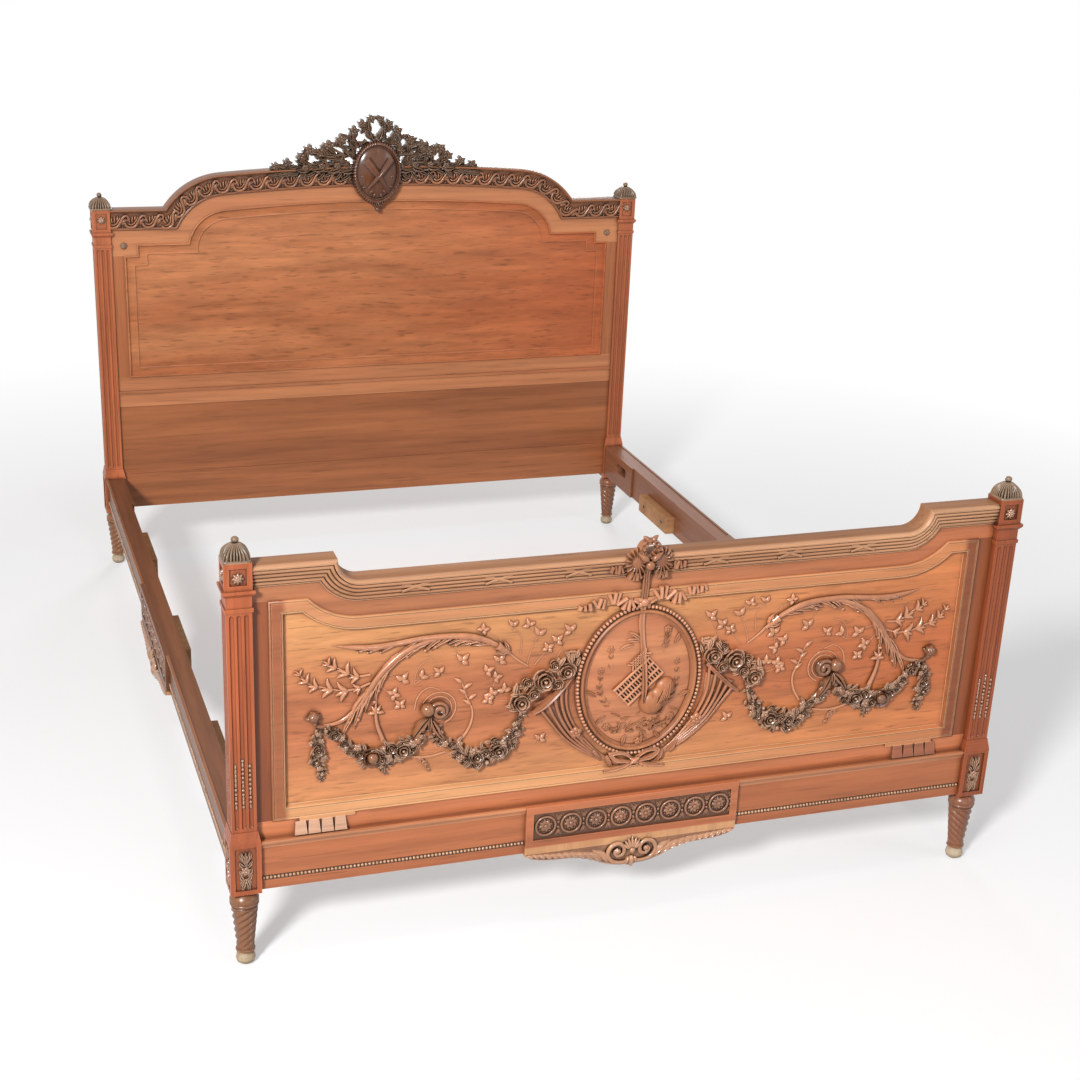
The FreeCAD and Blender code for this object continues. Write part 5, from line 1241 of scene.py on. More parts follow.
def trophy(b):
    """Trellis, the staff's ribbon and a few leaves."""
    def bar(start, end, r):
        tube(b, [on_trellis(*start, 15), on_trellis(*end, 15)], [r, r], 6, 0.9)

    for v in (-23, -8, 9, 24):
        bar((-48, v), (50, v), 2.6)
    for k in range(15):
        bar((-46 + 6.8 * k, -23), (-46 + 6.8 * k, 24), 1.7)
    for k in range(6):
        bar((8 + 7 * k, 28), (24 + 7 * k, 46), 1.5)
        bar((24 + 7 * k, 28), (8 + 7 * k, 46), 1.5)
    band(b, [(0, 636, 6), (-3, 590, 9), (2, 540, 14), (5, 500, 19), (6, 466, 22), (4, 440, 22)],
         [11, 11, 10, 9, 9, 3], 2.0)
    for u, v, a in ((-14, 562, 2.7), (-14, 566, 2.3), (-26, 556, 3.1)):
        leaf(b, u + 10, v - 4, a, 28, 10, 4, 2, 0.5, 0.1, 9)


def fronds(b):
    """Two gourds and the faint leafy sprays behind the trophy."""
    rng = random.Random(21)
    ball(b, 24, 436, 9, 25, 0.75, 28, 16)
    ball(b, 49, 464, 9, 20, 0.75, 28, 16)
    ball(b, 37, 450, 11, 17, 0.75, 24, 14)
    for k in range(5):
        stem(b, [(20 + 7 * k, 418 + 5 * k, 20), (32 + 5 * k, 440 + 4 * k, 27),
                 (48 + 2 * k, 470 + 2 * k, 20)], 1.2, 1.0)
    for points in ([(-20, 440), (-44, 470), (-56, 510), (-58, 545)],
                   [(-30, 430), (-60, 440), (-76, 470), (-74, 505)],
                   [(30, 425), (58, 440), (72, 470), (70, 510)], [(20, 520), (45, 545), (50, 575)],
                   [(0, 425), (-18, 400), (-40, 384), (-58, 392)],
                   [(10, 420), (30, 396), (52, 386), (66, 400)], [(5, 420), (4, 395), (14, 368), (6, 356)]):
        frond(b, [(u, v, 7) for u, v in points], 0.9, 0.6, 6, 17, 0.45, 0.9, 3.0)
        flower(b, points[-1][0], points[-1][1], 9, 6, rng.random(), 6, 3)
    for k in range(18):
        u, v = rng.uniform(-36, 48), rng.uniform(374, 410)
        leaf(b, u, v, rng.uniform(-0.6, 3.7), rng.uniform(15, 24), 7.5, 5, 2, rng.uniform(-0.8, 0.8), 0.15, 7)
    for u, v, a in ((-60, 415, 3.6), (-82, 455, 2.4), (78, 440, 0.2), (60, 420, -0.6), (-20, 372, -2.0),
                    (36, 372, -1.0), (64, 545, 1.0)):
        leaf(b, u, v, a, 24, 10, 3, 3, 0.3, 0.25, 6)


# dark plate behind the trellis: painted shade in its gaps
shade = Build()
shade.grid([[on_trellis(u, v, 12.6) for u in (-47, -16, 18, 50)] for v in (-23, 0, 24)])
shade.piece("trellis_ground", DARK_SHADE_SHEET, on_foot(FIELD))
made(trophy).piece("trophy", CARVED_LIGHT, on_foot(FIELD), sharp=50)
made(fronds).piece("trophy_sprays", MEDAL_CARVING, on_foot(FIELD), sharp=50)


# Ribbon bow over the cornice, its streamers, and the bow under the medallion

def cockade(b, u, v, ru, rv, pleats, high):
    """Round of pleated ribbon about a plain middle."""
    n = pleats * 6
    rows = []
    for w, lift, amp in ((1.0, -5.0, 1.0), (1.0, 1.0, 1.0), (0.94, 2.4, 1.0), (0.75, 3.6, 1.0),
                         (0.52, 4.2, 0.8), (0.44, 3.0, 0.2), (0.3, 4.0, 0.0), (0.0, 4.8, 0.0)):
        row = []
        for k in range(n):
            a = 2 * math.pi * k / n
            fold = math.cos(pleats * a)
            reach = w * (1 + 0.05 * fold * (w > 0.9))
            row.append((u + ru * reach * math.cos(a), v + rv * reach * math.sin(a),
                        high + lift + 2.4 * amp * fold))
        rows.append(row)
    b.grid(rows, close_cols=True)


def pleats(b, points, width, count, high, lean):
    """Ribbon folded to and fro: a row of narrow rounded folds across its path."""
    path = smooth(points, 8)
    for k in range(count):
        t = (k + 0.5) / count
        q, a = along(path, t)
        w = share(width, t)
        a += math.pi / 2 + lean * (-1) ** k
        u, v = q.x - math.cos(a) * w / 2, q.y - math.sin(a) * w / 2
        top = high + 2.0 * (k % 2)
        rows = []
        for f in (0.0, 0.04, 0.5, 0.96, 1.0):
            low_end = 0.0 if f in (0.0, 1.0) else 1.0
            x, y = u + math.cos(a) * w * f, v + math.sin(a) * w * f
            rows.append([(x - math.sin(a) * c * 4.6, y + math.cos(a) * c * 4.6, (top + 5.0 * h) * low_end)
                         for c, h in ((1.0, -0.6), (0.75, 0.5), (0.3, 0.95), (-0.3, 0.95), (-0.75, 0.5),
                                      (-1.0, -0.6))])
        b.grid(rows)


def knot(b, u, v, high, size):
    """Small tied loops round a middle knob."""
    for a in (0.5, 2.6, 3.8, 5.6):
        drop(b, u, v, a, size * 1.7, size * 1.1, 5, high - 3)
    ball(b, u, v, high, size * 0.8, 0.8, 12, 8)


bow = Build()
for side in (-1, 1):
    cockade(bow, side * 23, 714, 22, 26, 15, 9)
    drop(bow, side * 2, 750, math.pi / 2 - side * 0.55, 17, 10, 6, 8, -0.5 * side)
    pleats(bow, [(side * 14, 690), (side * 24, 687), (side * 36, 690)], [14, 16, 13], 4, 6, 0.15)
    pleats(bow, [(side * 48, 704), (side * 58, 703), (side * 72, 704)], [18, 17, 12], 4, 5, 0.2)
    drop(bow, side * 3, 716, math.pi / 2 - side * 0.9, 26, 12, 6, 14)
for off in (-4.4, 0.0, 4.4):
    tube(bow, smooth([(off, 708, 10), (off - 2, 690, 6), (off, 668, 1), (off - 2, 640, 2)]), [2.5, 2.5])
ball(bow, 0, 708, 15, 9, 0.8, 14, 9)
band(bow, [(-15, 718, 9), (-18, 732, 12), (-12, 746, 13), (0, 751, 13), (12, 746, 13), (18, 732, 12),
           (15, 718, 9)], [12, 12, 11, 9, 11, 12, 12], 3.0, 1.5, 9)
bow.piece("ribbon_bow", WAVES, on_foot(16), ["foot_bow"], sharp=50)

ties = Build()
pleats(ties, [(18, 645), (38, 650), (60, 637), (76, 641)], [22, 25, 24, 20], 7, 8, 0.22)
pleats(ties, [(82, 648), (100, 649), (120, 652)], [17, 15, 10], 5, 8, 0.2)
pleats(ties, [(-20, 634), (-36, 632), (-52, 646), (-68, 645)], [20, 23, 25, 20], 7, 8, 0.22)
pleats(ties, [(-74, 636), (-90, 640), (-108, 633), (-126, 634)], [20, 20, 12, 7], 6, 8, 0.2)
for side in (-1, 1):
    band(ties, [(side * 4, 630, 8), (side * 12, 636, 10), (side * 22, 640, 8)], [8, 12, 9], 3.0)
    band(ties, [(0, 318, 6), (side * 22, 335, 8), (side * 46, 334, 7), (side * 32, 320, 8), (0, 316, 7)],
         [6, 8, 9, 8, 5], 3.0)
    band(ties, [(0, 316, 6), (side * 26, 307, 9), (side * 60, 301, 8)], [6, 8, 6], 3.0)
    for k in range(3):
        drop(ties, side * (5 + 8 * k), 313 - 1.5 * k, -math.pi / 2 + side * (0.25 + 0.2 * k), 14, 5, 4, 6)
knot(ties, -1, 634, 12, 10)
knot(ties, 0, 318, 12, 7)
ties.piece("ribbon_ties", CARVED_LIGHT, on_foot(FIELD), sharp=50)

crossings = Build()
for u in (-422, -275, -130, 130, 275, 422):
    for slope in (-1, 1):
        band(crossings, [(u - 24, 704 - slope * 7), (u, 704), (u + 24, 704 + slope * 7)], [4.5, 4.5], 2.2)
crossings.piece("reed_ties", CORNICE, on_foot(11), sharp=50)


# Bead rows, ledges, guilloche tablets and leaf aprons

bead = Build()
ball(bead, 0, 0, 0, 3.3, 1.0, 8, 5)
BEADS = unit_set("unit_bead", [bead])


def ledge(b, u0, u1, top):
    """Moulded ledge between two ends, below its top edge."""
    shape = [(top, 0.0), (top, 6.0), (top - 3.0, 6.4), (top - 5.0, 5.6), (top - 8.0, 3.4),
             (top - 11.5, 1.6), (top - 14.0, 1.4), (top - 14.0, 0.0)]
    b.grid([[(u, v, h) for v, h in shape] for u in (u0, u1)], close_cols=True, capped=True)


LEDGE_TOP = 252.0
TABLET_END = 210.2                             # where the ledges stop beside the tablets
FOOT_END, RAIL_END = 694.8, 975.0
BEADS_INSET, BEAD_STEP = 3.8, 6.8
FOOT_BEADS_V, RAIL_BEADS_V = 178, 186


def ledge_pair(end):
    """Ledges from the tablet to both ends."""
    b = Build()
    ledge(b, -end, -TABLET_END, LEDGE_TOP)
    ledge(b, TABLET_END, end, LEDGE_TOP)
    return b


def bead_rows(at, end, v):
    """Paths of the bead rows on both sides of a tablet."""
    start = TABLET_END + BEADS_INSET
    return [line_on(at, [(s * start, v), (s * end, v)]) for s in (-1, 1)]


ledge_pair(FOOT_END).piece("foot_ledges", LEDGE, on_foot(9), recalc=True)
repeat("foot_beads", BEADS, bead_rows(on_foot(9), FOOT_END - BEADS_INSET, FOOT_BEADS_V), BEAD_STEP, FRONT,
       BEADING_HIGHLIT, ["foot_mouldings"])
# dark strip behind the bead row: painted shade of its groove
line = Build()
for s in (-1, 1):
    u0, u1 = sorted((s * (TABLET_END + 0.2), s * (FOOT_END - 0.2)))
    line.grid([[(u, v, 0.4) for u in (u0, u1)] for v in (173.4, 182.2)])
line.piece("foot_bead_line", DARK_SHADE_SHEET, on_foot(9))
for side, word in SIDES:
    ledge_pair(RAIL_END).piece("rail_ledges_" + word, LEDGE_Y, on_rail(side), recalc=True)
    repeat("rail_beads_" + word, BEADS, bead_rows(on_rail(side), 970, RAIL_BEADS_V), BEAD_STEP,
           (side, 0.0, 0.0), BEADING_HIGHLIT, ["rail_mouldings_" + word])
pearl_ring = [(u, v, 6.0) for u, v in oval(MEDAL_U, MEDAL_V)]
repeat("medallion_beads", unit_set("unit_pearl", [bead]), [line_on(on_foot(FIELD), pearl_ring)], 7.6, FRONT,
       CARVED_LIGHT, scale=1.2, cyclic=True)

ring = Build()
spiral(ring, 0, 0, 19, 19, 0, 1.0, 2.4, 2.4, 1.0)
flower(ring, 0, 0, 15, 8, 0.2, 0.5, 3.4, 0.3)
for k in range(8):
    a = 2 * math.pi * (k + 0.5) / 8 + 0.2
    ball(ring, 13 * math.cos(a), 13 * math.sin(a), 1.5, 1.8, 1.0, 6, 4)
for s in (-1, 1):
    ball(ring, 24.6, s * 5.0, 1.5, 3.2, 0.8, 8, 5)
    for w in (-1, 1):
        leaf(ring, 24.6 - w * 1.5, s * 9, s * math.pi / 2 - w * s * 0.5, 15, 8, 3.5, 2, 0.0, 0.2)
GUILLOCHE = unit_set("unit_guilloche", [ring])
for name, at, face in (("foot", on_foot(4), FRONT), ("rail_left", on_rail(-1), (-1.0, 0.0, 0.0)),
                       ("rail_right", on_rail(1), (1.0, 0.0, 0.0))):
    v, h = (211.5, 0.0) if name == "foot" else (208.5, 5.0)
    plate = Build()
    plate.grid([[(u, v + dv, h + 0.4) for u in (-195.6, 195.6)] for dv in (-27.1, 27.1)])
    plate.piece("tablet_ground_" + name, TABLET_GROUND, at)
    repeat("guilloche_" + name, GUILLOCHE, [line_on(at, [(-172.2, v, h), (172.2, v, h)])], 49.2, face,
           TABLET_CARVING)


def apron_leaves(b):
    """Shell and pendant between two volutes, whose lobes thin out along the lower edge."""
    for s in (-1, 1):
        scroll = ((3, 117), (20, 114), (38, 119), (48, 134), (42, 150), (27, 155), (16, 145), (18, 132),
                  (28, 129), (34, 137), (28, 143))
        tube(b, smooth([(s * u, v, 3.5) for u, v in scroll]), [3.0, 4.2, 4.6, 4.4, 4.2, 4.0], 10, 0.9)
        ball(b, s * 28, 139, 4.0, 6.0, 0.9, 14, 9)
        for u, v, a, length, width in ((44, 118, 1.1, 46, 18), (58, 121, 1.0, 42, 17),
                                       (73, 127, 0.92, 38, 16), (88, 132, 0.86, 33, 15),
                                       (103, 136, 0.82, 30, 14), (117, 138, 0.82, 27, 13),
                                       (131, 139, 0.84, 25, 12), (144, 140, 0.86, 24, 12),
                                       (157, 141, 0.9, 23, 12), (170, 143, 0.9, 21, 11),
                                       (182, 145, 0.9, 19, 10), (193, 147, 0.8, 16, 9)):
            drop(b, s * u, v, aim(s, a), length, width, 3.0 + width * 0.28, 0, -0.75 * s)
            drop(b, s * (u + 2), v + 1, aim(s, a) - 0.12 * s, length * 0.7, width * 0.36,
                 4.5 + width * 0.28, 0, -0.6 * s)
        rim = ((2, 111), (24, 111), (50, 117), (76, 128), (102, 137), (128, 139), (170, 141), (200, 147))
        tube(b, smooth([(s * u, v, 1.5) for u, v in rim], 5), [2.6, 2.6, 2.0, 1.2])
        drop(b, s * 5, 124, -math.pi / 2 + s * 0.5, 18, 9, 7, 1, -0.4 * s)
    for k in range(7):
        a = math.pi / 2 + 0.32 * (k - 3)
        drop(b, 3.0 * (3 - k) * 0.3, 141, a, 27 - abs(k - 3) * 1.5, 9, 7, 1.5)
    drop(b, 0, 127, -math.pi / 2, 26, 13, 8, 2)
    ball(b, 0, 139, 6, 6, 0.9, 12, 8)
    edge = ((-204, 150), (-170, 142), (-128, 140), (-102, 138), (-76, 129), (-50, 118), (-24, 112),
            (24, 112), (50, 118), (76, 129), (102, 138), (128, 140), (170, 142), (204, 150))
    b.grid([[(u, v, 0.6) for u, v in edge], [(u, 162.5, 0.6) for u, v in edge]])


for name, at in (("foot", on_foot(2)), ("rail_left", on_rail(-1)), ("rail_right", on_rail(1))):
    leaves = made(apron_leaves)
    if name != "foot":
        leaves.verts = [(u, v + 8, h + 7) for u, v, h in leaves.verts]
    leaves.piece("apron_leaves_" + name, APRON_CARVING, at, sharp=50)


# Posts: bead strings in the flutes, leaf panels on the lower blocks, rosettes on the upper ones

pearl = Build()
ball(pearl, 0, 0, 0, 3.6, 1.0, 8, 5)
husk = Build()
ball(husk, 0, 0, 0, 3.6, 0.8, 8, 5)
husk.verts = [(u * 1.7, v * 0.8, h) for u, v, h in husk.verts]
STRING = unit_set("unit_string", [pearl, husk])
STRING_LOW = 324
STRINGS = ((-12.4, 402), (0, 413), (12.4, 402))   # place across the post and top of each string


def on_post_front(side):
    """Fluted front of a foot post."""
    return lambda u, v, h: (side * POST_X + u, FOOT + 9 - h, v)


def on_post_side(side):
    """Fluted outer side of a foot post."""
    return lambda u, v, h: (side * (POST_X + 18.5 + h), -POST_Y + u, v)


for side, word in SIDES:
    for name, at, face in (("front_", on_post_front(side), FRONT),
                           ("side_", on_post_side(side), (float(side), 0.0, 0.0))):
        strings = [line_on(at, [(u, STRING_LOW), (u, top)]) for u, top in STRINGS]
        repeat("bead_strings_" + name + word, STRING, strings, 8.4, face, CARVED)


def block_leaf(b):
    """Leaves above and below a flower, for the sunk panel of a post's lower block."""
    for s in (-1, 1):
        for v, a, length in ((-33, 0.5, 22), (-22, 0.75, 20), (-9, 0.95, 17), (7, 0.95, 17), (18, 0.7, 20)):
            leaf(b, s * 1.5, v, math.pi / 2 - s * a, length, 11, 6, 3, 0.5 * s, 0.25, 1)
        for v, a, length in ((33, 0.7, 14), (-16, 0.8, 18), (-28, 0.6, 16)):
            leaf(b, s * 2, v, -math.pi / 2 + s * a, length, 10, 5, 3, -0.5 * s, 0.25, 0.5)
    for a in (-0.35, 0.35):
        leaf(b, 0, 14, math.pi / 2 + a, 27, 10, 7, 3, -0.3 * a, 0.25, 2)
        leaf(b, 0, -14, -math.pi / 2 + a, 25, 10, 7, 3, -0.3 * a, 0.25, 2)
    leaf(b, 0, 10, math.pi / 2, 30, 9, 7, 4, 0, 0.25, 3)
    flower(b, 0, 0, 10, 6, 0.3, 5, 3)


def rosette(b, r):
    """Double flower."""
    flower(b, 0, 0, r, 8, 0.0, 0, 4, 0.3)
    flower(b, 0, 0, r * 0.66, 6, 0.3, 3, 3, 0.34)


BLOCK_SINK = 6.5                               # depth of the sunk panels in the posts' blocks
LOW_BLOCK_Z, FOOT_BLOCK_Z, HEAD_BLOCK_Z = 200, 746.5, 946.5


def on_block_front(side, y):
    """Sunk panel on the front of a post's block."""
    return lambda u, v, h: (side * POST_X + u, y - POST_HALF + BLOCK_SINK - h, v)


def on_block_side(side, y):
    """Sunk panel on the outer side of a post's block."""
    return lambda u, v, h: (side * POST_X + side * (POST_HALF - BLOCK_SINK + h), y + side * u, v)


panels = Build()
tops = Build()
post_leaf = made(block_leaf)
post_flower = Build()
rosette(post_flower, 11)
for side in (-1, 1):
    for y, top in ((-POST_Y, FOOT_BLOCK_Z), (POST_Y, HEAD_BLOCK_Z)):
        for at in (on_block_front(side, y), on_block_side(side, y)):
            if top == FOOT_BLOCK_Z:
                panels.add_placed(post_leaf, shifted(at, 0, LOW_BLOCK_Z))
            tops.add_placed(post_flower, shifted(at, 0, top))
panels.piece("post_leaf_panels", CARVED, in_bed, sharp=50)
tops.piece("post_flowers", CARVED, in_bed, ["post_rosettes"], sharp=50)


# Carved work of the headboard

wave = Build()
crest_of_wave = ((-24, -4, 2), (-20, -13, 2), (-9, -16.5, 2), (2, -13, 2.5), (9, -3, 3), (15, 8, 3.5),
                 (22, 14, 3.5), (28, 12, 3), (29.5, 5, 2.5), (25, 1, 2))
foot_of_wave = ((-17, -6, 1), (-9, -9, 1.5), (-1, -6, 2), (5, 3, 2), (10, 11, 2))
tube(wave, smooth(crest_of_wave, 4), [3.2, 4.0, 4.0, 3.4, 2.2])
tube(wave, smooth(foot_of_wave, 4), [1.6, 2.6, 2.8, 1.6], 6)
drop(wave, 13, -9, 0.95, 22, 13, 4.5)
for u, v, a, size in ((-11, -5, 1.95, 18), (-5, -4, 1.75, 19), (1, 1, 1.6, 15)):
    drop(wave, u, v, a, size, 6.4, 5.0, 0.5, -0.5)
ball(wave, 14.5, -15, 1.5, 2.4, 1.0, 8, 5)
rise = [(u, v, -10.0) for u, v in crest_line(CREST_BAND_MIDDLE) if -600 < u < -85]
sweep = [(u, CREST_END - CREST_BAND_MIDDLE, -10.0) for u in (-684.0, -600.0)] + rise
fall = [(-u, v, h) for u, v, h in reversed(sweep)]
repeat("crest_scrolls", unit_set("unit_wave", [wave]),
       [line_on(on_head(0), sweep), line_on(on_head(0), fall)], 45.5, FRONT, WAVES)


PIERCED = [(170, 1092, 11), (103, 1113, 10), (77, 1134, 9), (38, 1157, 10), (0, 1172, 14), (122, 1084, 8),
           (74, 1092, 8), (215, 1084, 7)]


def crest_foliage(b):
    """Wreath of flowers and crowded leaves on arching stems, with gaps that show through."""
    rng = random.Random(31)
    edge = [(0, 1204), (34, 1188), (56, 1172), (95, 1152), (126, 1136), (178, 1126), (206, 1108),
            (240, 1092), (284, 1074)]

    def top_at(u):
        for (a, va), (c, vc) in zip(edge, edge[1:]):
            if u <= c:
                return va + (vc - va) * (u - a) / (c - a)
        return 1070.0

    for s in (-1, 1):
        for u, v, r in ((268, 1075, 11), (236, 1084, 12), (200, 1098, 13), (178, 1116, 15), (146, 1108, 13),
                        (126, 1126, 15), (92, 1142, 14), (58, 1164, 14), (36, 1182, 12), (13, 1194, 11)):
            flower(b, s * u, v, r + 1, 5, rng.random() * 2, 3, 6.0, 0.3, 0.68)
        for points, r in (([(30, 1060), (90, 1076), (150, 1080), (215, 1072), (282, 1070)], 6.0),
                          ([(40, 1100), (90, 1102), (124, 1100), (150, 1106)], 5.0),
                          ([(24, 1138), (58, 1122), (88, 1124), (92, 1144)], 5.0),
                          ([(136, 1078), (150, 1098), (178, 1116)], 5.0),
                          ([(184, 1076), (188, 1092), (200, 1098)], 4.5),
                          ([(10, 1142), (24, 1158), (26, 1176), (13, 1194), (0, 1198)], 5.0),
                          ([(52, 1080), (58, 1104), (54, 1130), (58, 1160)], 5.0),
                          ([(96, 1082), (90, 1102), (118, 1120)], 4.5)):
            stem(b, [(s * u, v, -3) for u, v in points], r, r * 0.7, 0.6, 8)
        count = 0
        while count < 150:
            u = rng.uniform(6, 280)
            v = rng.uniform(1060, 1200)
            size = rng.uniform(18, 30)
            a = rng.uniform(-0.2, 1.9)
            tip_u, tip_v = u + size * math.cos(a), v + size * math.sin(a)
            mid_u, mid_v = (u + tip_u) / 2, (v + tip_v) / 2
            above = v > top_at(u) - 8 or tip_v > top_at(max(0, tip_u))
            behind_shield = (u / 64) ** 2 + ((v - SHIELD_Z) / 80) ** 2 < 1
            in_gap = any(math.hypot(mid_u - x, mid_v - y) < r + 3 or math.hypot(tip_u - x, tip_v - y) < r
                         or math.hypot(u - x, v - y) < r for x, y, r in PIERCED)
            if above or behind_shield or in_gap:
                continue
            count += 1
            leaf(b, s * u, v, aim(s, a), size, size * 0.56, 7, 3, rng.uniform(-0.8, 0.8), 0.2,
                 rng.uniform(-4, 5))
        for u, v, a, length, width in ((58, 1066, -0.5, 40, 22), (98, 1070, -0.6, 38, 21),
                                       (140, 1070, -0.45, 36, 20), (184, 1066, -0.3, 34, 18)):
            leaf(b, s * u, v, aim(s, a), length, width, 10, 3, 0.7 * s, 0.2, 8)
            flower(b, s * (u + 8), v + 6, 11, 5, u * 0.1, 11, 5)
        for u, v, a, length in ((72, 1054, -0.9, 30), (96, 1060, -1.2, 28), (118, 1060, -0.7, 30),
                                (142, 1058, -1.1, 26), (166, 1060, -0.6, 30), (190, 1060, -1.0, 24),
                                (212, 1058, -0.4, 30), (80, 1064, -0.3, 32), (130, 1066, -0.2, 32),
                                (178, 1068, -0.1, 30)):
            leaf(b, s * u, v, aim(s, a), length, length * 0.5, 8, 3, 0.6 * s, 0.2, 6)
        for k in range(5):
            leaf(b, s * (214 + 13 * k), 1060 - 1.5 * k, aim(s, 0.25), 26, 12, 8, 3, -0.5 * s, 0.2, 4)
            leaf(b, s * (214 + 13 * k), 1058 - 1.5 * k, aim(s, -0.35), 24, 11, 8, 3, 0.5 * s, 0.2, 5)
    for s in (-1, 1):
        leaf(b, 0, 1136, math.pi / 2 - s * 0.75, 34, 17, 8, 3, 0.5 * s, 0.2, 3)
    flower(b, 0, 1138, 13, 5, 0.3, 7, 6)


crown = made(crest_foliage)
crown.back_up(14.0, 0.5)
crown.piece("crest_foliage", CARVED_DARK, on_head(12), ["head_crest_carving"], sharp=50)


def shield(b):
    """Oval with a fine gadrooned rim, two crossed staffs and a pointed drop."""
    n = 240
    wide, tall = 66.0, 82.0
    rings = [[(0.0, SHIELD_Z, -14.0)] * n]
    for t, h, cut in ((1.0, -14, 1), (1.0, 4, 1), (0.985, 10, 1), (0.94, 14, 1), (0.9, 14.5, 0.5),
                      (0.87, 12, 0), (0.86, 9.5, 0), (0.83, 9, 0), (0.82, 7.5, 0)):
        row = []
        for k in range(n):
            a = 2 * math.pi * k / n
            swell = 1 + 0.03 * cut * math.cos(60 * a)
            row.append((wide * t * swell * math.cos(a), SHIELD_Z + tall * t * swell * math.sin(a), h))
        rings.append(row)
    for r in (0.8, 0.7, 0.55, 0.35, 0.15, 0.0):
        turns = [2 * math.pi * k / n for k in range(n)]
        rings.append([(wide * r * math.cos(a), SHIELD_Z + tall * r * math.sin(a), 20 - 18 * r * r)
                      for a in turns])
    b.grid(rings, close_cols=True)
    z = SHIELD_Z - 1046
    tube(b, smooth([(-31, z + 1080, 15), (-13, z + 1058, 21), (4, z + 1036, 21), (24, z + 1010, 14)]),
         [12, 11, 8, 3], 20, 0.9, 5, 0.12)
    tube(b, smooth([(36, z + 1080, 15), (18, z + 1058, 22), (-2, z + 1034, 23), (-26, z + 1006, 14)]),
         [10, 8, 6.5, 3.5], 20, 0.9, 4, 0.1)
    tube(b, [(1, z + 1108, 9), (1, z + 1044, 21)], [1.8, 1.8])
    for s in (-1, 1):
        for u, v, a in ((14, 1002, -1.0), (30, 1012, -0.4), (34, 1034, 0.3), (8, 994, -1.4)):
            drop(b, s * u, z + v, aim(s, a), 15, 8, 5, 11, 0.3 * s)
        for k in range(5):
            leaf(b, s * (44 - 9 * k), z + 996 - 6.5 * k, -math.pi / 2 - s * (0.9 - 0.1 * k), 24, 12, 7, 3,
                 0.4 * s, 0.2, 5)
    leaf(b, 0, z + 976, -math.pi / 2, 26, 14, 8, 3, 0, 0.2, 6)
    ball(b, 0, z + 950, 8, 6, 0.9, 12, 8)


made(shield).piece("crest_cartouche", SHIELD, on_head(0), ["head_cartouche"], sharp=50)

corner_flower = Build()
rosette(corner_flower, 10)
corner_pair = Build()
for side in (-1, 1):
    corner_pair.add_placed(corner_flower, shifted(on_head(12), side * 668.3, 878.6))
corner_pair.piece("corner_flowers", CAP, in_bed, ["head_corner_rosettes"], sharp=50)


# Stage: pale floor, soft light and the photo's camera

def seen_directly(tree):
    """1 for what the eye, a polish or a clear pane shows, 0 for light that only bounces."""
    path = node(tree, "ShaderNodeLightPath")
    gloss = node(tree, "ShaderNodeMath", operation="MAXIMUM")
    clear = node(tree, "ShaderNodeMath", operation="MAXIMUM")
    tree.links.new(path.outputs["Is Camera Ray"], gloss.inputs[0])
    tree.links.new(path.outputs["Is Glossy Ray"], gloss.inputs[1])
    tree.links.new(gloss.outputs[0], clear.inputs[0])
    tree.links.new(path.outputs["Is Transmission Ray"], clear.inputs[1])
    return clear.outputs[0]


def floor_look():
    """White to the eye, fading to pure white far off, and mid grey to light that bounces."""
    mat = bpy.data.materials.new("floor")
    mat.use_nodes = True
    tree = mat.node_tree
    link = tree.links.new
    bsdf = tree.nodes["Principled BSDF"]
    bsdf.inputs["Base Color"].default_value = (0.3, 0.3, 0.3, 1.0)
    bsdf.inputs["Roughness"].default_value = 0.95
    bright = node(tree, "ShaderNodeBsdfDiffuse", {"Color": (0.98, 0.98, 0.98, 1.0)})
    glow = node(tree, "ShaderNodeEmission", {"Color": (1.0, 1.0, 1.0, 1.0), "Strength": 1.0})
    coord = node(tree, "ShaderNodeTexCoord")
    away = node(tree, "ShaderNodeVectorMath", operation="LENGTH")
    fade = node(tree, "ShaderNodeMapRange", {"From Min": 1.6, "From Max": 3.2, "To Min": 0.35})
    seen = node(tree, "ShaderNodeMixShader")
    both = node(tree, "ShaderNodeMixShader")
    link(coord.outputs["Object"], away.inputs[0])
    link(away.outputs["Value"], fade.inputs["Value"])
    link(fade.outputs["Result"], seen.inputs[0])
    link(bright.outputs[0], seen.inputs[1])
    link(glow.outputs[0], seen.inputs[2])
    link(seen_directly(tree), both.inputs[0])
    link(bsdf.outputs[0], both.inputs[1])
    link(seen.outputs[0], both.inputs[2])
    link(both.outputs[0], tree.nodes["Material Output"].inputs["Surface"])
    return mat


def stage_floor():
    """Wide plane under the bed."""
    shape = bpy.data.meshes.new("floor")
    far = 30.0
    shape.from_pydata([(-far, -far, 0), (far, -far, 0), (far, far, 0), (-far, far, 0)], [], [(0, 1, 2, 3)])
    shape.materials.append(floor_look())
    obj = bpy.data.objects.new("floor", shape)
    bpy.context.scene.collection.objects.link(obj)


def area_light(name, place, target, size, power):
    """Round soft light that points at a target."""
    light = bpy.data.lights.new(name, "AREA")
    light.shape = "DISK"
    light.size = size
    light.energy = power
    obj = bpy.data.objects.new(name, light)
    obj.location = place
    obj.rotation_euler = (Vector(target) - Vector(place)).to_track_quat("-Z", "Y").to_euler()
    bpy.context.scene.collection.objects.link(obj)


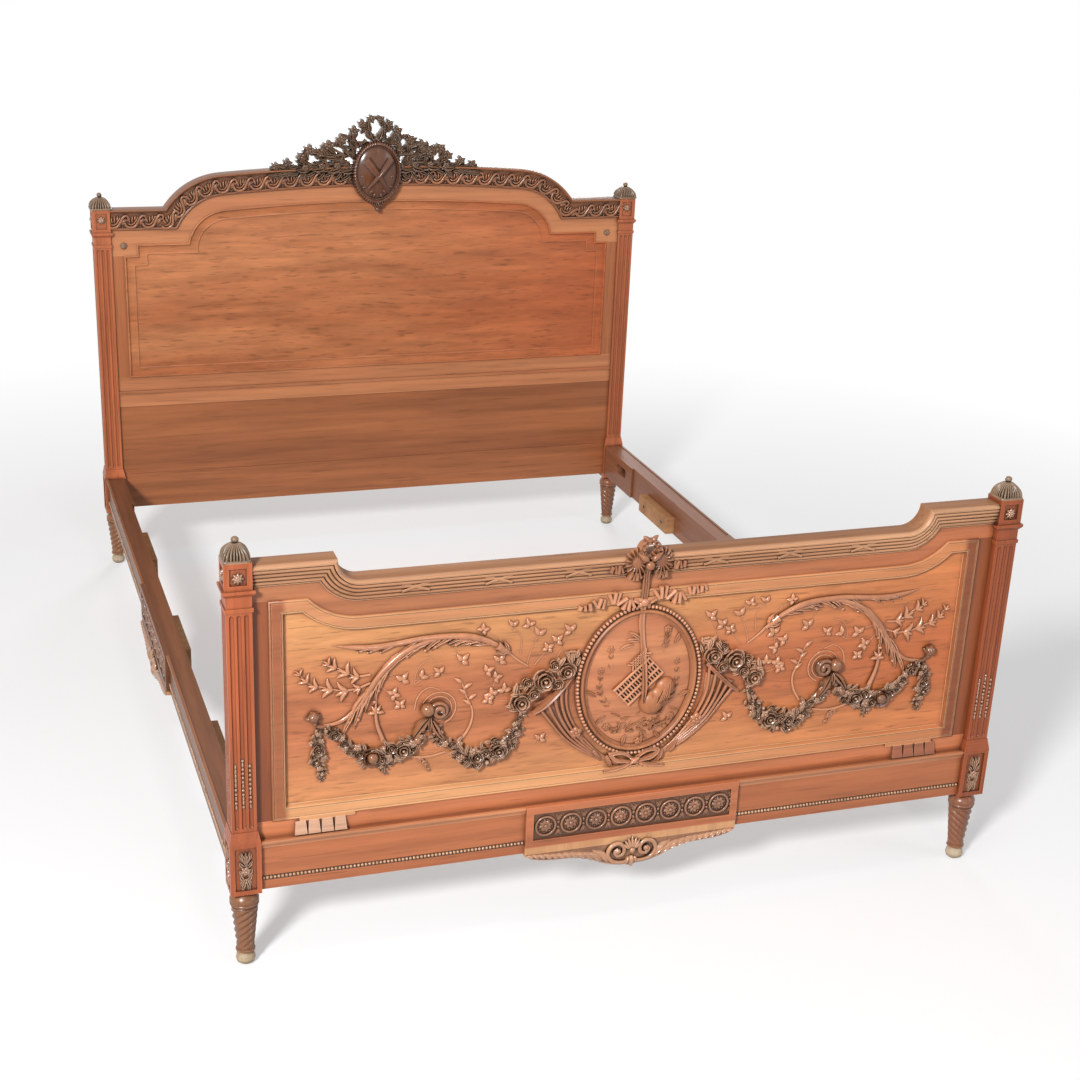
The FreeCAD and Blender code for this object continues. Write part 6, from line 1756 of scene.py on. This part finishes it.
def sky():
    """White to the eye, and a weak even light to everything else."""
    world = bpy.data.worlds.new("studio")
    bpy.context.scene.world = world
    world.use_nodes = True
    tree = world.node_tree
    out = tree.nodes["World Output"]
    soft = tree.nodes["Background"]
    soft.inputs["Color"].default_value = (1.0, 1.0, 1.0, 1.0)
    soft.inputs["Strength"].default_value = 0.28
    seen = node(tree, "ShaderNodeBackground", {"Color": (1.0, 1.0, 1.0, 1.0), "Strength": 1.0})
    blend = node(tree, "ShaderNodeMixShader")
    tree.links.new(seen_directly(tree), blend.inputs[0])
    tree.links.new(soft.outputs[0], blend.inputs[1])
    tree.links.new(seen.outputs[0], blend.inputs[2])
    tree.links.new(blend.outputs[0], out.inputs["Surface"])


def photo_camera():
    """Camera fitted to the photo, in metres and radians."""
    place = (-1.1595, -3.714, 1.8465)
    yaw, pitch, roll = 0.329, 0.391, -0.0382
    ahead = Vector((math.sin(yaw) * math.cos(pitch), math.cos(yaw) * math.cos(pitch), -math.sin(pitch)))
    right = Vector((math.cos(yaw), -math.sin(yaw), 0.0))
    down = ahead.cross(right)
    right_rolled = right * math.cos(roll) + down * math.sin(roll)
    down_rolled = down * math.cos(roll) - right * math.sin(roll)
    cam = bpy.data.cameras.new("camera")
    cam.sensor_width = 36.0
    cam.lens = 59.6
    cam.shift_x = 0.0204
    cam.shift_y = 0.05
    cam.clip_end = 100.0
    obj = bpy.data.objects.new("camera", cam)
    turn = Matrix((right_rolled, -down_rolled, -ahead)).transposed()
    obj.matrix_world = Matrix.Translation(place) @ turn.to_4x4()
    bpy.context.scene.collection.objects.link(obj)
    bpy.context.scene.camera = obj


stage_floor()
sky()
area_light("key", (-3.6, -4.8, 3.6), (0, -0.2, 0.6), 1.0, 440)
area_light("fill", (4.2, -3.6, 2.4), (0, -0.4, 0.4), 2.0, 24)
area_light("rear", (1.2, 4.6, 1.4), (0, 1.0, 0.6), 1.6, 60)
area_light("top", (-0.2, -1.6, 4.8), (0, -0.2, 0.3), 0.8, 14)
area_light("front", (0.3, -5.6, 0.8), (0, -1.0, 0.5), 0.8, 24)
photo_camera()
bpy.context.scene.view_settings.view_transform = "Standard"

for coll in list(bpy.data.collections):
    if coll.name.startswith("unit_"):
        for obj in list(coll.objects):
            bpy.data.objects.remove(obj)
        bpy.data.collections.remove(coll)
